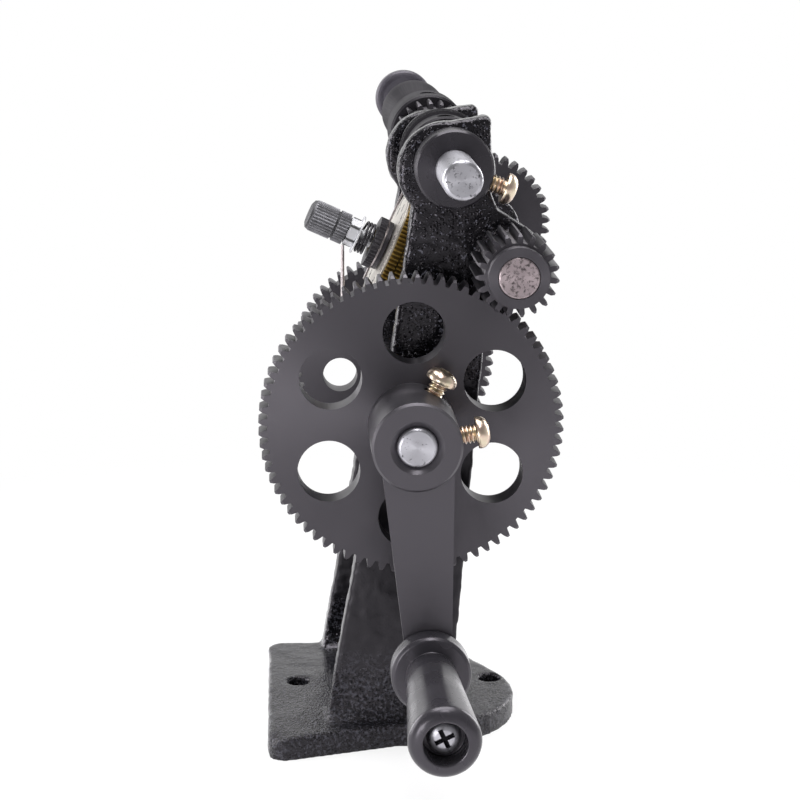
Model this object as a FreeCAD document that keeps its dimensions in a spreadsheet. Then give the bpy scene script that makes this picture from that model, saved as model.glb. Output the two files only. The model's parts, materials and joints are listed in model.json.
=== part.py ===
import FreeCAD, Part
import math
import os

import Sketcher

# Hand winding machine: a cast two-web frame, a crank with a 76-tooth gear, a step-up train to a
# winding spindle with centring cones, and a worm-driven turn counter.
# Frame of the part: origin midway between the two base bolt holes on the underside, +Z up,
# the crank side faces -Y. Along every shaft a station is counted towards the crank, so it is -Y.

V = FreeCAD.Vector
ORIGIN = V(0, 0, 0)
UP = V(0, 0, 1)
doc = FreeCAD.newDocument("HandWinder")

# Driving dimensions in millimetres, and degrees where the name says angle

SIZES = [
    ("base_thickness", 6.2, "base plate"),
    ("base_left", 35.5, "left edge of the base from the bolt line's middle"),
    ("base_front_left", 46.4, "front left corner towards the crank"),
    ("base_front_right", 28.4, "where the slanting front edge meets the round nose"),
    ("base_front_reach", 24.5, "the same place, to the right"),
    ("base_back", 34.5, "back edge, flush with the rear web"),
    ("base_back_reach", 14.9, "right end of the back edge"),
    ("base_nose_radius", 28.4, "round nose of the base on the right"),
    ("base_nose_x", 4.2, "centre of the round nose"),
    ("base_nose_station", 8.0, "centre of the round nose"),
    ("base_nose_angle", 27.0, "where the straight slant to the back leaves the nose"),
    ("base_corner_radius", 4.5, "left corners of the base"),
    ("base_edge_round", 0.7, "cast rounding of the base's top edge"),
    ("bolt_spacing", 54.0, "between the two base holes"),
    ("bolt_hole_dia", 6.2, "base holes"),
    ("main_x", 2.0, "main shaft, to the right"),
    ("main_height", 90.2, "main shaft above the underside"),
    ("web_thickness", 6.5, "each upright web"),
    ("front_web_station", 31.0, "front face of the front web"),
    ("rear_web_station", 28.0, "inner face of the rear web, behind the bolt line"),
    ("web_foot_left", 20.4, "left foot of a web"),
    ("web_foot_right", 13.0, "right foot of a web"),
    ("web_waist_left", 4.4, "left edge at the waist, from the main shaft"),
    ("web_waist_right", 19.4, "right edge at the waist, from the main shaft"),
    ("web_waist_rise", 15.7, "waist above the main shaft"),
    ("spindle_lug_radius", 12.6, "round side of the spindle lug"),
    ("spindle_lug_shift", 1.4, "lug centre towards the left of the spindle"),
    ("spindle_lug_right", 10.1, "square side of the lug, right of the spindle"),
    ("spindle_lug_top", 12.8, "square corner of the lug above the spindle"),
    ("spindle_lug_slope", 2.2, "fall of the lug's top towards the left"),
    ("rear_lug_drop", 2.2, "top of the rear spindle lug below the front one"),
    ("rear_lug_reach", 2.0, "the rear spindle lug further right than the front one"),
    ("pinion_lug_radius", 9.7, "lug round the intermediate shaft"),
    ("foot_fillet", 4.0, "cast fillet along the foot of a web"),
    ("boss_gap", 0.3, "running gap at the end of a boss"),
    ("main_boss_radius", 9.5, "bearing bosses of the main shaft"),
    ("main_boss_height", 6.7, "front and rear bosses of the main shaft"),
    ("pinion_boss_radius", 7.5, "bearing bosses of the intermediate shaft"),
    ("pinion_boss_height", 4.7, "front boss of the intermediate shaft"),
    ("bearing_clearance", 0.06, "radial clearance of a shaft in the casting"),
    ("fixed_clearance", 0.02, "radial clearance of a hub fixed by a screw"),
    ("running_clearance", 0.05, "radial clearance of a gear or a grip that runs free"),
    ("shaft_dia", 10.0, "main shaft and spindle"),
    ("pinion_shaft_dia", 10.5, "intermediate shaft"),
    ("shaft_chamfer", 0.6, "ends of the shafts"),
    ("gear_module", 1.0, "module of the steel gears"),
    ("big_teeth", 76, "crank gear"),
    ("pinion_teeth", 19, "front pinion and spindle pinion"),
    ("step_teeth", 38, "rear gear of the intermediate shaft"),
    ("slow_teeth", 57, "slow-speed gear on the main shaft"),
    ("mesh_angle", 57.3, "intermediate shaft seen from the main shaft, above level"),
    ("spindle_mesh_angle", 120.4, "spindle seen from the intermediate shaft, above level"),
    ("tooth_thinning", 0.14, "taken off each steel tooth for backlash"),
    ("big_width", 8.0, "face width of the crank gear"),
    ("big_tooth_angle", 2.49, "a tooth of the crank gear above level"),
    ("gear_chamfer", 0.7, "rims of the big gears"),
    ("hub_radius", 11.25, "hubs of the crank gear and the crank"),
    ("big_hub_length", 11.5, "hub of the crank gear"),
    ("big_hole_radius", 8.0, "lightening holes of the crank gear"),
    ("big_hole_circle", 24.1, "their circle's radius"),
    ("big_hole_angle", 28.6, "first of the six holes above level"),
    ("crank_hub_length", 12.5, "hub of the crank"),
    ("crank_countersink", 6.7, "mouth of the crank's bore"),
    ("arm_front_station", 68.7, "front face of the crank arm"),
    ("arm_thickness", 4.2, "flat bar of the crank arm"),
    ("crank_radius", 56.85, "crank throw"),
    ("crank_angle", 3.2, "handle to the right of straight down"),
    ("arm_root_half", 9.3, "half width of the arm at the hub"),
    ("arm_tip_half", 5.6, "half width of the arm at the handle"),
    ("handle_flange_radius", 10.0, "guard of the handle"),
    ("handle_flange_length", 6.4, "guard of the handle"),
    ("handle_neck_radius", 6.2, "neck behind the guard"),
    ("handle_end_radius", 8.6, "flared end"),
    ("handle_dome", 2.6, "rounded end of the handle"),
    ("handle_length", 52.5, "handle over all"),
    ("handle_recess_radius", 5.1, "recess for the bolt head"),
    ("handle_recess_depth", 6.4, "recess for the bolt head"),
    ("handle_bolt_dia", 5.0, "axle bolt of the handle"),
    ("handle_bolt_head", 4.05, "radius of the bolt's pan head"),
    ("handle_bolt_head_height", 2.6, "pan head"),
    ("screw_dia", 4.8, "fixing screws of hubs and collar"),
    ("screw_head_radius", 4.0, "pan heads"),
    ("screw_head_height", 3.2, "pan heads"),
    ("screw_underside", 14.3, "under the heads, from the shaft's axis"),
    ("big_screw_angle", 63.5, "screw of the crank gear, above level"),
    ("crank_screw_angle", 6.5, "screw of the crank, above level"),
    ("collar_screw_angle", -19.0, "screw of the spindle collar"),
    ("slow_screw_angle", 150.0, "screw of the slow gear"),
    ("slow_screw_backed_off", 0.6, "gap left at the loosened screw's tip"),
    ("pinion_width", 12.0, "teeth of the front pinion"),
    ("pinion_hub_radius", 7.6, "hub rings of the pinions"),
    ("pinion_hub_length", 11.5, "hub of the front pinion"),
    ("rear_gear_width", 8.0, "slow gear and step gear"),
    ("rear_gear_gap", 7.5, "rear web to the rear gears"),
    ("step_hub_radius", 9.0, "hub of the step gear"),
    ("step_hub_length", 8.0, "hub of the step gear"),
    ("step_tooth_angle", 77.4, "a tooth of the step gear above level"),
    ("slow_hub_radius", 10.6, "hub of the slow gear"),
    ("slow_hub_length", 11.5, "hub of the slow gear"),
    ("slow_hole_radius", 5.0, "lightening holes of the slow gear"),
    ("slow_hole_circle", 16.3, "their circle's radius"),
    ("slow_hole_angle", 16.4, "first of the six holes"),
    ("clip_thickness", 1.0, "retaining clip of the slow gear"),
    ("clip_radius", 7.6, "retaining clip"),
    ("clip_groove_depth", 0.6, "groove for the clip"),
    ("shaft_tail", 2.4, "main shaft behind its clip"),
    ("spindle_front", 64.0, "front end of the spindle"),
    ("spindle_rear", 189.0, "rear end of the spindle"),
    ("collar_radius", 10.0, "spindle collar"),
    ("collar_length", 8.8, "spindle collar"),
    ("collar_chamfer", 0.5, "spindle collar"),
    ("spindle_pinion_width", 10.0, "teeth of the spindle pinion"),
    ("set_screw_length", 2.3, "headless screws"),
    ("worm_root_radius", 10.84, "worm sleeve under its thread"),
    ("worm_thread_height", 0.80, "worm thread"),
    ("worm_front", 12.0, "front end of the worm sleeve"),
    ("worm_rear", 14.0, "rear end of the worm sleeve, behind the bolt line"),
    ("worm_turns", 7.0, "threaded turns round the wheels"),
    ("near_cone_front", 52.4, "near cone, behind the bolt line"),
    ("near_cone_rim", 18.6, "straight part of the near cone"),
    ("near_cone_radius", 11.5, "near cone"),
    ("cone_length", 18.0, "tapered part of a cone"),
    ("cone_nose_radius", 6.6, "small end of a cone"),
    ("far_cone_front", 104.0, "small end of the far cone, behind the bolt line"),
    ("far_cone_radius", 10.4, "far cone"),
    ("far_cone_rim", 7.0, "straight part of the far cone"),
    ("slide_clearance", 0.08, "radial clearance of the far cone on the spindle"),
    ("clamp_nut_flats", 16.0, "clamp nut across flats"),
    ("clamp_nut_height", 8.0, "clamp nut"),
    ("end_nut_front", 182.0, "front of the round end nut, behind the bolt line"),
    ("end_nut_radius", 9.8, "round end nut"),
    ("end_nut_thickness", 6.0, "round end nut"),
    ("end_nut_lip", 1.4, "flat lip round its dished front"),
    ("end_nut_dish", 1.2, "depth of the dished front"),
    ("wheel_distance", 29.5, "counter axis to the spindle's axis"),
    ("counter_angle", 24.3, "counter axis above level, to the left"),
    ("counter_station", -0.9, "counter wheels' centre"),
    ("unit_teeth", 100, "units wheel"),
    ("hundred_teeth", 101, "hundreds wheel"),
    ("wheel_radius", 18.2, "pitch radius of both brass wheels"),
    ("brass_thinning", 0.12, "taken off each brass tooth for backlash"),
    ("wheel_width", 2.3, "toothed rim of a brass wheel"),
    ("wheel_back", 1.6, "back face of the hundreds wheel, behind the worm's middle"),
    ("counter_gap", 0.3, "running gap between counter pieces"),
    ("stud_dia", 4.0, "fixed stud of the counter"),
    ("stud_clearance", 0.05, "radial clearance on the stud"),
    ("sleeve_radius", 3.2, "hub sleeve of the hundreds wheel"),
    ("dial_radius", 17.2, "pale dial plate"),
    ("dial_thickness", 0.5, "dial plate"),
    ("friction_radius", 6.8, "dark friction ring"),
    ("friction_thickness", 1.2, "friction ring"),
    ("pointer_thickness", 0.5, "pointer"),
    ("pointer_hub", 6.6, "pointer's disc"),
    ("pointer_reach", 16.8, "pointer's long arm"),
    ("pointer_tail", 10.4, "pointer's short arm"),
    ("pointer_half_width", 1.3, "pointer's arms at the disc"),
    ("ring_radius", 7.1, "knurled setting ring"),
    ("ring_thickness", 2.1, "knurled setting ring"),
    ("spring_wire", 0.7, "wire of the counter spring"),
    ("spring_radius", 4.2, "mean radius of the counter spring"),
    ("spring_pitch", 1.15, "counter spring"),
    ("spring_turns", 2.25, "counter spring"),
    ("washer_radius", 5.3, "counter washer"),
    ("washer_thickness", 0.5, "counter washer"),
    ("counter_nut_flats", 7.0, "counter nut across flats"),
    ("counter_nut_height", 2.8, "counter nut"),
    ("knob_radius", 4.35, "counter knob"),
    ("knob_length", 11.2, "counter knob"),
    ("knob_groove", 3.3, "groove of the knob from its inner end"),
    ("knurl_depth", 0.3, "straight knurls"),
    ("bridge_back", 3.6, "bridge face behind the worm's middle"),
    ("bridge_depth", 8.0, "cast bridge that carries the counter"),
    ("bridge_half_width", 8.0, "cast bridge"),
    ("counter_pad_radius", 4.5, "pad round the stud on the bridge"),
    ("stud_seat", 9.5, "stud's depth in the bridge, from the worm's middle"),
    ("stop_wire_dia", 1.0, "stop wire"),
    ("stop_wire_foot", 1.9, "stop wire in the rear web, right of the counter's foot"),
    ("stop_wire_drop", 17.6, "its level runs below the counter's foot"),
    ("stop_wire_margin", 3.6, "its cross run behind the tips of the wheels"),
    ("stop_wire_reach", 15.1, "upright run to the left of the counter's foot"),
    ("stop_wire_rise", 2.2, "free end above the counter's foot"),
    ("stop_wire_seat", 5.0, "stop wire's depth in the rear web"),
    ("stop_wire_bend", 3.0, "bend radius of the stop wire"),
]


def text_of(value):
    """The sheet formula of a size, or the plain number."""
    return value.formula if isinstance(value, Size) else f"{float(value):.9g}"


class Size:
    """A number with the sheet formula that gives it, so that sums and shares stay bound."""

    def __init__(self, number, formula):
        self.number = float(number)
        self.formula = formula

    def __float__(self):
        return self.number

    def __add__(self, other):
        return Size(self.number + float(other), f"({self.formula} + {text_of(other)})")

    __radd__ = __add__

    def __sub__(self, other):
        return Size(self.number - float(other), f"({self.formula} - {text_of(other)})")

    def __rsub__(self, other):
        return Size(float(other) - self.number, f"({text_of(other)} - {self.formula})")

    def __mul__(self, other):
        return Size(self.number * float(other), f"({self.formula} * {text_of(other)})")

    __rmul__ = __mul__

    def __truediv__(self, other):
        return Size(self.number / float(other), f"({self.formula} / {text_of(other)})")

    def __neg__(self):
        return 0 - self


class Sheet:
    """The spreadsheet of sizes; each alias reads back as a Size."""

    def __init__(self):
        self.object = doc.addObject("Spreadsheet::Sheet", "Sizes")
        self.row = 0
        for name, number, note in SIZES:
            self.add(name, number, str(number), note)

    def add(self, name, number, content, note):
        self.row += 1
        self.object.set(f"A{self.row}", name)
        self.object.set(f"B{self.row}", content)
        self.object.set(f"C{self.row}", note)
        self.object.setAlias(f"B{self.row}", name)
        size = Size(number, f"Sizes.{name}")
        setattr(self, name, size)
        return size

    def derive(self, name, size, note):
        """Give a worked-out size its own cell."""
        return self.add(name, float(size), "=" + size.formula.replace("Sizes.", ""), note)


size = Sheet()
PARTS = []


# Document helpers

def bind(item, path, value):
    """Tie a property or a constraint to the sheet."""
    if isinstance(value, Size):
        item.setExpression(path, value.formula)


def keep(item, label):
    """Name a finished sub-part."""
    item.Label = label
    PARTS.append(item)
    return item


def plane(body, role):
    return next(item for item in body.Origin.OriginFeatures if item.Role == role)


def new_sketch(body, role, name):
    sketch = body.newObject("Sketcher::SketchObject", name)
    sketch.AttachmentSupport = [(plane(body, role), "")]
    sketch.MapMode = "FlatFace"
    return sketch


def fix_point(sketch, index, position, x, y):
    """Hold one point of the sketch at (x, y) from its origin."""
    for kind, value, axis in (("DistanceX", x, -2), ("DistanceY", y, -1)):
        if float(value) == 0:
            sketch.addConstraint(Sketcher.Constraint("PointOnObject", index, position, axis))
        else:
            held = Sketcher.Constraint(kind, -1, 1, index, position, float(value))
            bind(sketch, f"Constraints[{sketch.addConstraint(held)}]", value)


def draw_polygon(sketch, corners):
    """A closed outline through the corners, each held in both directions."""
    points = [V(float(x), float(y), 0) for x, y in corners]
    first = sketch.GeometryCount
    count = len(points)
    for i in range(count):
        sketch.addGeometry(Part.LineSegment(points[i], points[(i + 1) % count]), False)
    for i in range(count):
        following = first + (i + 1) % count
        sketch.addConstraint(Sketcher.Constraint("Coincident", first + i, 2, following, 1))
    for i in range(count):
        fix_point(sketch, first + i, 1, *corners[i])


def draw_circle(sketch, x, y, radius):
    index = sketch.addGeometry(Part.Circle(V(float(x), float(y), 0), UP, float(radius)), False)
    fix_point(sketch, index, 3, x, y)
    held = sketch.addConstraint(Sketcher.Constraint("Radius", index, float(radius)))
    bind(sketch, f"Constraints[{held}]", radius)


def turned(name, corners, placement=None):
    """A body turned round its Z axis from (radius, station) corners."""
    body = doc.addObject("PartDesign::Body", name)
    sketch = new_sketch(body, "XZ_Plane", name + "_profile")
    draw_polygon(sketch, corners)
    turn = body.newObject("PartDesign::Revolution", name + "_turn")
    turn.Profile = sketch
    turn.ReferenceAxis = (sketch, ["V_Axis"])
    turn.Angle = 360
    if placement:
        body.Placement = placement
    return body


def padded(name, corners, length, placement=None, role="XY_Plane"):
    """A body padded from a closed outline."""
    body = doc.addObject("PartDesign::Body", name)
    sketch = new_sketch(body, role, name + "_outline")
    draw_polygon(sketch, corners)
    pad = body.newObject("PartDesign::Pad", name + "_pad")
    pad.Profile = sketch
    pad.Length = float(length)
    bind(pad, "Length", length)
    if placement:
        body.Placement = placement
    return body


def ring_of_holes(body, name, count, circle, angle, radius):
    """Equal holes through the body on a circle round its Z axis."""
    sketch = new_sketch(body, "XY_Plane", name + "_hole")
    turn = math.radians(float(angle))
    draw_circle(sketch, circle * math.cos(turn), circle * math.sin(turn), radius)
    pocket = body.newObject("PartDesign::Pocket", name + "_pocket")
    pocket.Profile = sketch
    pocket.Type = "ThroughAll"
    pocket.SideType = "Symmetric"
    pattern = body.newObject("PartDesign::PolarPattern", name + "_pattern")
    pattern.Originals = [pocket]
    pattern.Axis = (sketch, ["N_Axis"])
    pattern.Angle = 360
    pattern.Occurrences = count
    body.Tip = pattern


def cylinder(name, radius, height, placement):
    item = doc.addObject("Part::Cylinder", name)
    item.Radius = float(radius)
    item.Height = float(height)
    bind(item, "Radius", radius)
    bind(item, "Height", height)
    item.Placement = placement
    return item


def box(name, length, width, height, placement):
    item = doc.addObject("Part::Box", name)
    for key, value in (("Length", length), ("Width", width), ("Height", height)):
        setattr(item, key, float(value))
        bind(item, key, value)
    item.Placement = placement
    return item


def solid(name, shape, placement=None):
    """A solid that the sheet's numbers give through a formula of its own."""
    item = doc.addObject("Part::Feature", name)
    item.Shape = shape
    if placement:
        item.Placement = placement
    return item


def fused(name, *pieces):
    item = doc.addObject("Part::MultiFuse", name)
    item.Shapes = list(pieces)
    item.Refine = True
    return item


def cut(name, base, *tools):
    item = doc.addObject("Part::Cut", name)
    item.Base = base
    item.Tool = tools[0] if len(tools) == 1 else fused(name + "_tools", *tools)
    return item


def common(name, base, tool):
    item = doc.addObject("Part::Common", name)
    item.Base = base
    item.Tool = tool
    return item


# Places: the shafts run along Y, the counter's stud leans up to the left

def on_shaft(x, z, angle=0.0):
    """Local Z runs towards the crank, local Y up; angle turns the piece about its shaft."""
    upright = FreeCAD.Rotation(V(1, 0, 0), 90)
    return FreeCAD.Placement(V(x, 0, z), upright * FreeCAD.Rotation(UP, angle))


def radial(x, z, station, angle):
    """Local Z points straight away from the shaft at (x, z), angle above level."""
    turn = math.radians(float(angle))
    away = V(math.cos(turn), 0, math.sin(turn))
    return FreeCAD.Placement(V(x, -float(station), z), FreeCAD.Rotation(UP, away))


MAIN = (float(size.main_x), float(size.main_height))
big_mesh = size.derive("big_mesh", size.gear_module * (size.big_teeth + size.pinion_teeth) / 2,
                       "main shaft to intermediate shaft")
spindle_mesh = size.derive("spindle_mesh",
                           size.gear_module * (size.step_teeth + size.pinion_teeth) / 2,
                           "intermediate shaft to spindle")


def from_shaft(start, distance, angle):
    turn = math.radians(float(angle))
    reach = float(distance)
    return start[0] + reach * math.cos(turn), start[1] + reach * math.sin(turn)


INTERMEDIATE = from_shaft(MAIN, big_mesh, size.mesh_angle)
SPINDLE = from_shaft(INTERMEDIATE, spindle_mesh, size.spindle_mesh_angle)

COUNTER_TURN = math.radians(float(size.counter_angle))
COUNTER_OUT = V(-math.cos(COUNTER_TURN), 0, math.sin(COUNTER_TURN))
COUNTER_SIDE = V(math.sin(COUNTER_TURN), 0, math.cos(COUNTER_TURN))
COUNTER_FOOT = (V(SPINDLE[0], -float(size.counter_station), SPINDLE[1])
                - COUNTER_SIDE * float(size.wheel_distance))
COUNTER_PLACE = FreeCAD.Placement(
    COUNTER_FOOT, FreeCAD.Rotation(COUNTER_SIDE, V(0, 1, 0), COUNTER_OUT, "ZXY"))

# Stations along the shafts, towards the crank

web_inner = size.derive("web_inner", size.front_web_station - size.web_thickness,
                        "inner face of the front web")
rear_outer = size.derive("rear_outer", size.rear_web_station + size.web_thickness,
                         "outer face of the rear web, behind the bolt line")
big_back = size.derive("big_back",
                       size.front_web_station + size.main_boss_height + size.boss_gap,
                       "back face of the crank gear")
big_face = size.derive("big_face", big_back + size.big_width, "front face of the crank gear")
hub_front = size.derive("hub_front", big_face + size.big_hub_length, "front of the gear's hub")
crank_front = size.derive("crank_front", hub_front + size.crank_hub_length,
                          "front of the crank's hub")
pinion_back = size.derive("pinion_back",
                          size.front_web_station + size.pinion_boss_height + size.boss_gap,
                          "back face of the front pinion")
pinion_face = size.derive("pinion_face", pinion_back + size.pinion_width,
                          "front face of the front pinion's teeth")
pinion_front = size.derive("pinion_front", pinion_face + size.pinion_hub_length,
                           "front of the pinion's hub and of its shaft")
rear_face = size.derive("rear_face", rear_outer + size.rear_gear_gap,
                        "front face of the rear gears, behind the bolt line")
rear_back = size.derive("rear_back", rear_face + size.rear_gear_width,
                        "back face of the rear gears, behind the bolt line")
slow_hub_end = size.derive("slow_hub_end", rear_back + size.slow_hub_length,
                           "back end of the slow gear's hub, behind the bolt line")
clip_face = size.derive("clip_face", slow_hub_end + size.boss_gap,
                        "front face of the retaining clip, behind the bolt line")
main_rear = size.derive("main_rear", clip_face + size.clip_thickness + size.shaft_tail,
                        "rear end of the main shaft, behind the bolt line")
step_hub_end = size.derive("step_hub_end", rear_back + size.step_hub_length,
                           "back end of the step gear's hub and its shaft")
shaft_radius = size.shaft_dia / 2
fixed_bore = size.derive("fixed_bore", shaft_radius + size.fixed_clearance,
                         "bore of what is screwed to a 10 mm shaft")


# Gears

def involute(angle):
    return math.tan(angle) - angle


def tooth_corners(teeth, module, thinning, pitch_radius, angle, steps=1):
    """Corners of a toothed outline: chords of the 20 degree involute between root and tip."""
    pressure = math.radians(20)
    base = pitch_radius * math.cos(pressure)
    root = pitch_radius - 1.25 * module
    tip = pitch_radius + module
    half_at_pitch = (math.pi * module / 2 - thinning) / (2 * pitch_radius)

    def half_angle(radius):
        turned_by = math.acos(min(1.0, base / radius))
        return half_at_pitch + involute(pressure) - involute(turned_by)

    flank = [root, pitch_radius, tip] if steps == 2 else [root, tip]
    corners = []
    for i in range(teeth):
        middle = math.radians(angle + 360.0 * i / teeth)
        for side, radii in ((-1, flank), (1, reversed(flank))):
            for radius in radii:
                turn = middle + side * half_angle(max(radius, base))
                corners.append(V(radius * math.cos(turn), radius * math.sin(turn), 0))
    return corners


def toothed(name, blank, corners, outer, low, high, placement):
    """Cut the tooth spaces of a closed outline into a turned blank, from low to high."""
    lift = V(0, 0, low)
    raised = [corner + lift for corner in corners + corners[:1]]
    ring = Part.Wire(Part.makeCircle(outer, lift))
    outline = Part.Wire(Part.makePolygon(raised))
    face = Part.makeFace([ring, outline], "Part::FaceMakerBullseye")
    spaces = face.extrude(V(0, 0, high - low))
    return cut(name, blank, solid(name + "_spaces", spaces, placement))


def steel_gear(name, blank, teeth, angle, low, high, placement):
    module = float(size.gear_module)
    count = int(float(teeth))
    corners = tooth_corners(count, module, float(size.tooth_thinning), module * count / 2, angle, 2)
    outer = module * count / 2 + 2 * module
    return toothed(name, blank, corners, outer, float(low) - 1, float(high) + 1, placement)


def tip_radius(teeth):
    return size.gear_module * (teeth + 2) / 2


def mate_angle(own_angle, own_teeth, direction, other_teeth):
    """Tooth angle of a gear whose centre lies in the direction, meshed with this one."""
    own_pitch = 360.0 / float(own_teeth)
    other_pitch = 360.0 / float(other_teeth)
    share = ((direction - own_angle) / own_pitch) % 1.0
    return direction + 180 - other_pitch * (0.5 - share)


def gear_blank(name, rim, face, back, hub, hub_end, bore, placement):
    """Rim from back to face with chamfers, hub on one side, bore right through."""
    bevel = size.gear_chamfer
    if float(hub_end) > float(face):
        corners = [(bore, back), (rim - bevel, back), (rim, back + bevel), (rim, face - bevel),
                   (rim - bevel, face), (hub, face), (hub, hub_end), (bore, hub_end)]
    else:
        corners = [(bore, hub_end), (hub, hub_end), (hub, back), (rim - bevel, back),
                   (rim, back + bevel), (rim, face - bevel), (rim - bevel, face), (bore, face)]
    return turned(name, corners, placement)


# Fasteners

def tapped(name, x, z, station, angle, reach):
    """A radial screw hole from a shaft's middle outwards."""
    return cylinder(name, size.screw_dia / 2 + size.fixed_clearance, reach,
                    radial(x, z, station, angle))


def pan_screw(name, x, z, station, angle, tip, underside):
    """Cross-slotted pan-head screw that points at a shaft."""
    shank = size.screw_dia / 2
    head = size.screw_head_radius
    tall = size.screw_head_height
    place = radial(x, z, station, angle)
    blank = turned(name + "_blank", [
        (0, tip), (shank - 0.5, tip), (shank, tip + 0.5), (shank, underside), (head, underside),
        (head, underside + tall * 0.4), (head * 0.86, underside + tall * 0.72),
        (head * 0.5, underside + tall), (0, underside + tall)], place)
    slots = []
    for turn in (0, 90):
        slot = FreeCAD.Placement(V(0, 0, float(underside + tall * 0.55)),
                                 FreeCAD.Rotation(UP, turn + 45))
        shift = FreeCAD.Placement(V(-float(head) * 0.62, -0.45, 0), FreeCAD.Rotation())
        slots.append(box(f"{name}_slot{turn}", head * 1.24, 0.9, tall, place * slot * shift))
    return cut(name, blank, *slots)


def hex_nut(name, flats, low, height, bore, placement):
    """Hexagon nut with chamfered corners, from low upwards along its own axis."""
    corner = flats / 2 / math.cos(math.radians(30))
    side = flats / 2
    prism = doc.addObject("Part::Prism", name + "_prism")
    prism.Polygon = 6
    prism.Circumradius = float(corner)
    prism.Height = float(height)
    bind(prism, "Circumradius", corner)
    bind(prism, "Height", height)
    prism.Placement = placement * FreeCAD.Placement(V(0, 0, float(low)), FreeCAD.Rotation())
    drop = (corner - side) * 0.6
    barrel = turned(name + "_barrel", [
        (bore, low), (side, low), (corner, low + drop), (corner, low + height - drop),
        (side, low + height), (bore, low + height)], placement)
    return common(name, prism, barrel)


def knurl_corners(count, radius, depth):
    """A V-knurled outline."""
    corners = []
    for i in range(2 * count):
        reach = radius if i % 2 == 0 else radius - depth
        turn = math.pi * i / count
        corners.append(V(reach * math.cos(turn), reach * math.sin(turn), 0))
    return corners


# Frame casting

def web_outline(lug_drop, lug_reach):
    """Left foot, waist and lug round to the right: (x, height) corners of one web."""
    spindle_x, spindle_z = SPINDLE
    pinion_x, pinion_z = INTERMEDIATE
    waist = size.main_height + size.web_waist_rise
    right = size.spindle_lug_right + lug_reach + spindle_x
    top = size.spindle_lug_top - lug_drop + spindle_z
    lug = size.pinion_lug_radius
    return [
        (-size.web_foot_left, size.base_thickness / 2),
        (size.main_x - size.web_waist_left, waist),
        (spindle_x - size.spindle_lug_right, spindle_z - size.spindle_lug_radius * 0.72),
        (spindle_x - 4.0, spindle_z + 2.0),
        (spindle_x - 3.5, top - size.spindle_lug_slope),
        (right - 0.9, top),
        (right, top - 1.3),
        (right, spindle_z - 7.0),
        (right + 1.8, spindle_z - 11.4),
        (pinion_x + lug * 0.58, pinion_z + lug * 0.815),
        (pinion_x + lug * 0.3, pinion_z),
        (pinion_x - lug * 0.64, pinion_z - lug * 0.77),
        (size.main_x + size.web_waist_right, waist),
        (size.web_foot_right, size.base_thickness / 2),
    ]


def make_web(name, station, lug_drop=0, lug_reach=0):
    """One upright web with its two lugs; station is its back face."""
    place = FreeCAD.Placement(V(0, -float(station), 0), FreeCAD.Rotation())
    plate = padded(name + "_plate", web_outline(lug_drop, lug_reach), size.web_thickness, place,
                   "XZ_Plane")
    lug_x = SPINDLE[0] - float(size.spindle_lug_shift)
    lug_z = SPINDLE[1] - float(size.spindle_lug_shift + lug_drop)
    lugs = []
    for part, x, z, radius in (("spindle", lug_x, lug_z, size.spindle_lug_radius),
                               ("pinion", *INTERMEDIATE, size.pinion_lug_radius)):
        lug_place = on_shaft(x, z)
        lug_place.Base.y = -float(station)
        lugs.append(cylinder(f"{name}_{part}_lug", radius, size.web_thickness, lug_place))
    return fused(name, plate, *lugs)


def boss(name, axis, radius, low, high):
    place = on_shaft(*axis)
    place.Base.y = -float(low)
    return cylinder(name, radius, high - low, place)


def make_base():
    """Base plate: slanting front edge, round nose on the right, rounded left corners."""
    body = doc.addObject("PartDesign::Body", "base_plate")
    sketch = new_sketch(body, "XY_Plane", "base_outline")
    turn = math.radians(float(size.base_nose_angle))
    draw_polygon(sketch, [
        (-size.base_left, -size.base_front_left), (size.base_front_reach, -size.base_front_right),
        (size.base_nose_x + size.base_nose_radius * math.cos(turn),
         size.base_nose_radius * math.sin(turn) - size.base_nose_station),
        (size.base_back_reach, size.base_back), (-size.base_left, size.base_back)])
    pad = body.newObject("PartDesign::Pad", "base_pad")
    pad.Profile = sketch
    bind(pad, "Length", size.base_thickness)
    nose = new_sketch(body, "XY_Plane", "nose_outline")
    draw_circle(nose, size.base_nose_x, -size.base_nose_station, size.base_nose_radius)
    nose_pad = body.newObject("PartDesign::Pad", "nose_pad")
    nose_pad.Profile = nose
    bind(nose_pad, "Length", size.base_thickness)
    doc.recompute()
    left = -float(size.base_left)
    corners = edges_where(body.Shape, lambda box: abs(box.XMin - left) < 0.01
                          and box.XLength < 0.01 and box.YLength < 0.01)
    rounding = body.newObject("PartDesign::Fillet", "corner_rounding")
    rounding.Base = (nose_pad, corners)
    bind(rounding, "Radius", size.base_corner_radius)
    doc.recompute()
    top = float(size.base_thickness)
    rim = edges_where(body.Shape, lambda box: box.ZMin > top - 0.01)
    edge_round = body.newObject("PartDesign::Fillet", "edge_rounding")
    edge_round.Base = (rounding, rim)
    bind(edge_round, "Radius", size.base_edge_round)
    return body


def edges_where(shape, test):
    """Names of the edges whose bounding box passes the test."""
    return [f"Edge{i}" for i, edge in enumerate(shape.Edges, 1) if test(edge.BoundBox)]


def foot_fillet(name, station, direction):
    """Hollow fillet bar along the foot of a web; direction is 1 towards the crank."""
    low = float(size.base_thickness)
    reach = float(size.foot_fillet)
    left = -float(size.web_foot_left) + 1.0
    length = float(size.web_foot_right) - 1.0 - left
    face = -float(station)
    out = face - direction * reach
    corner = Part.LineSegment(V(left, face, low), V(left, out, low)).toShape()
    wall = Part.LineSegment(V(left, face, low + reach), V(left, face, low)).toShape()
    middle = V(left, face - direction * reach * (1 - math.sqrt(0.5)),
               low + reach * (1 - math.sqrt(0.5)))
    hollow = Part.Arc(V(left, out, low), middle, V(left, face, low + reach)).toShape()
    profile = Part.Face(Part.Wire([corner, hollow, wall]))
    return solid(name, profile.extrude(V(length, 0, 0)))


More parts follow.
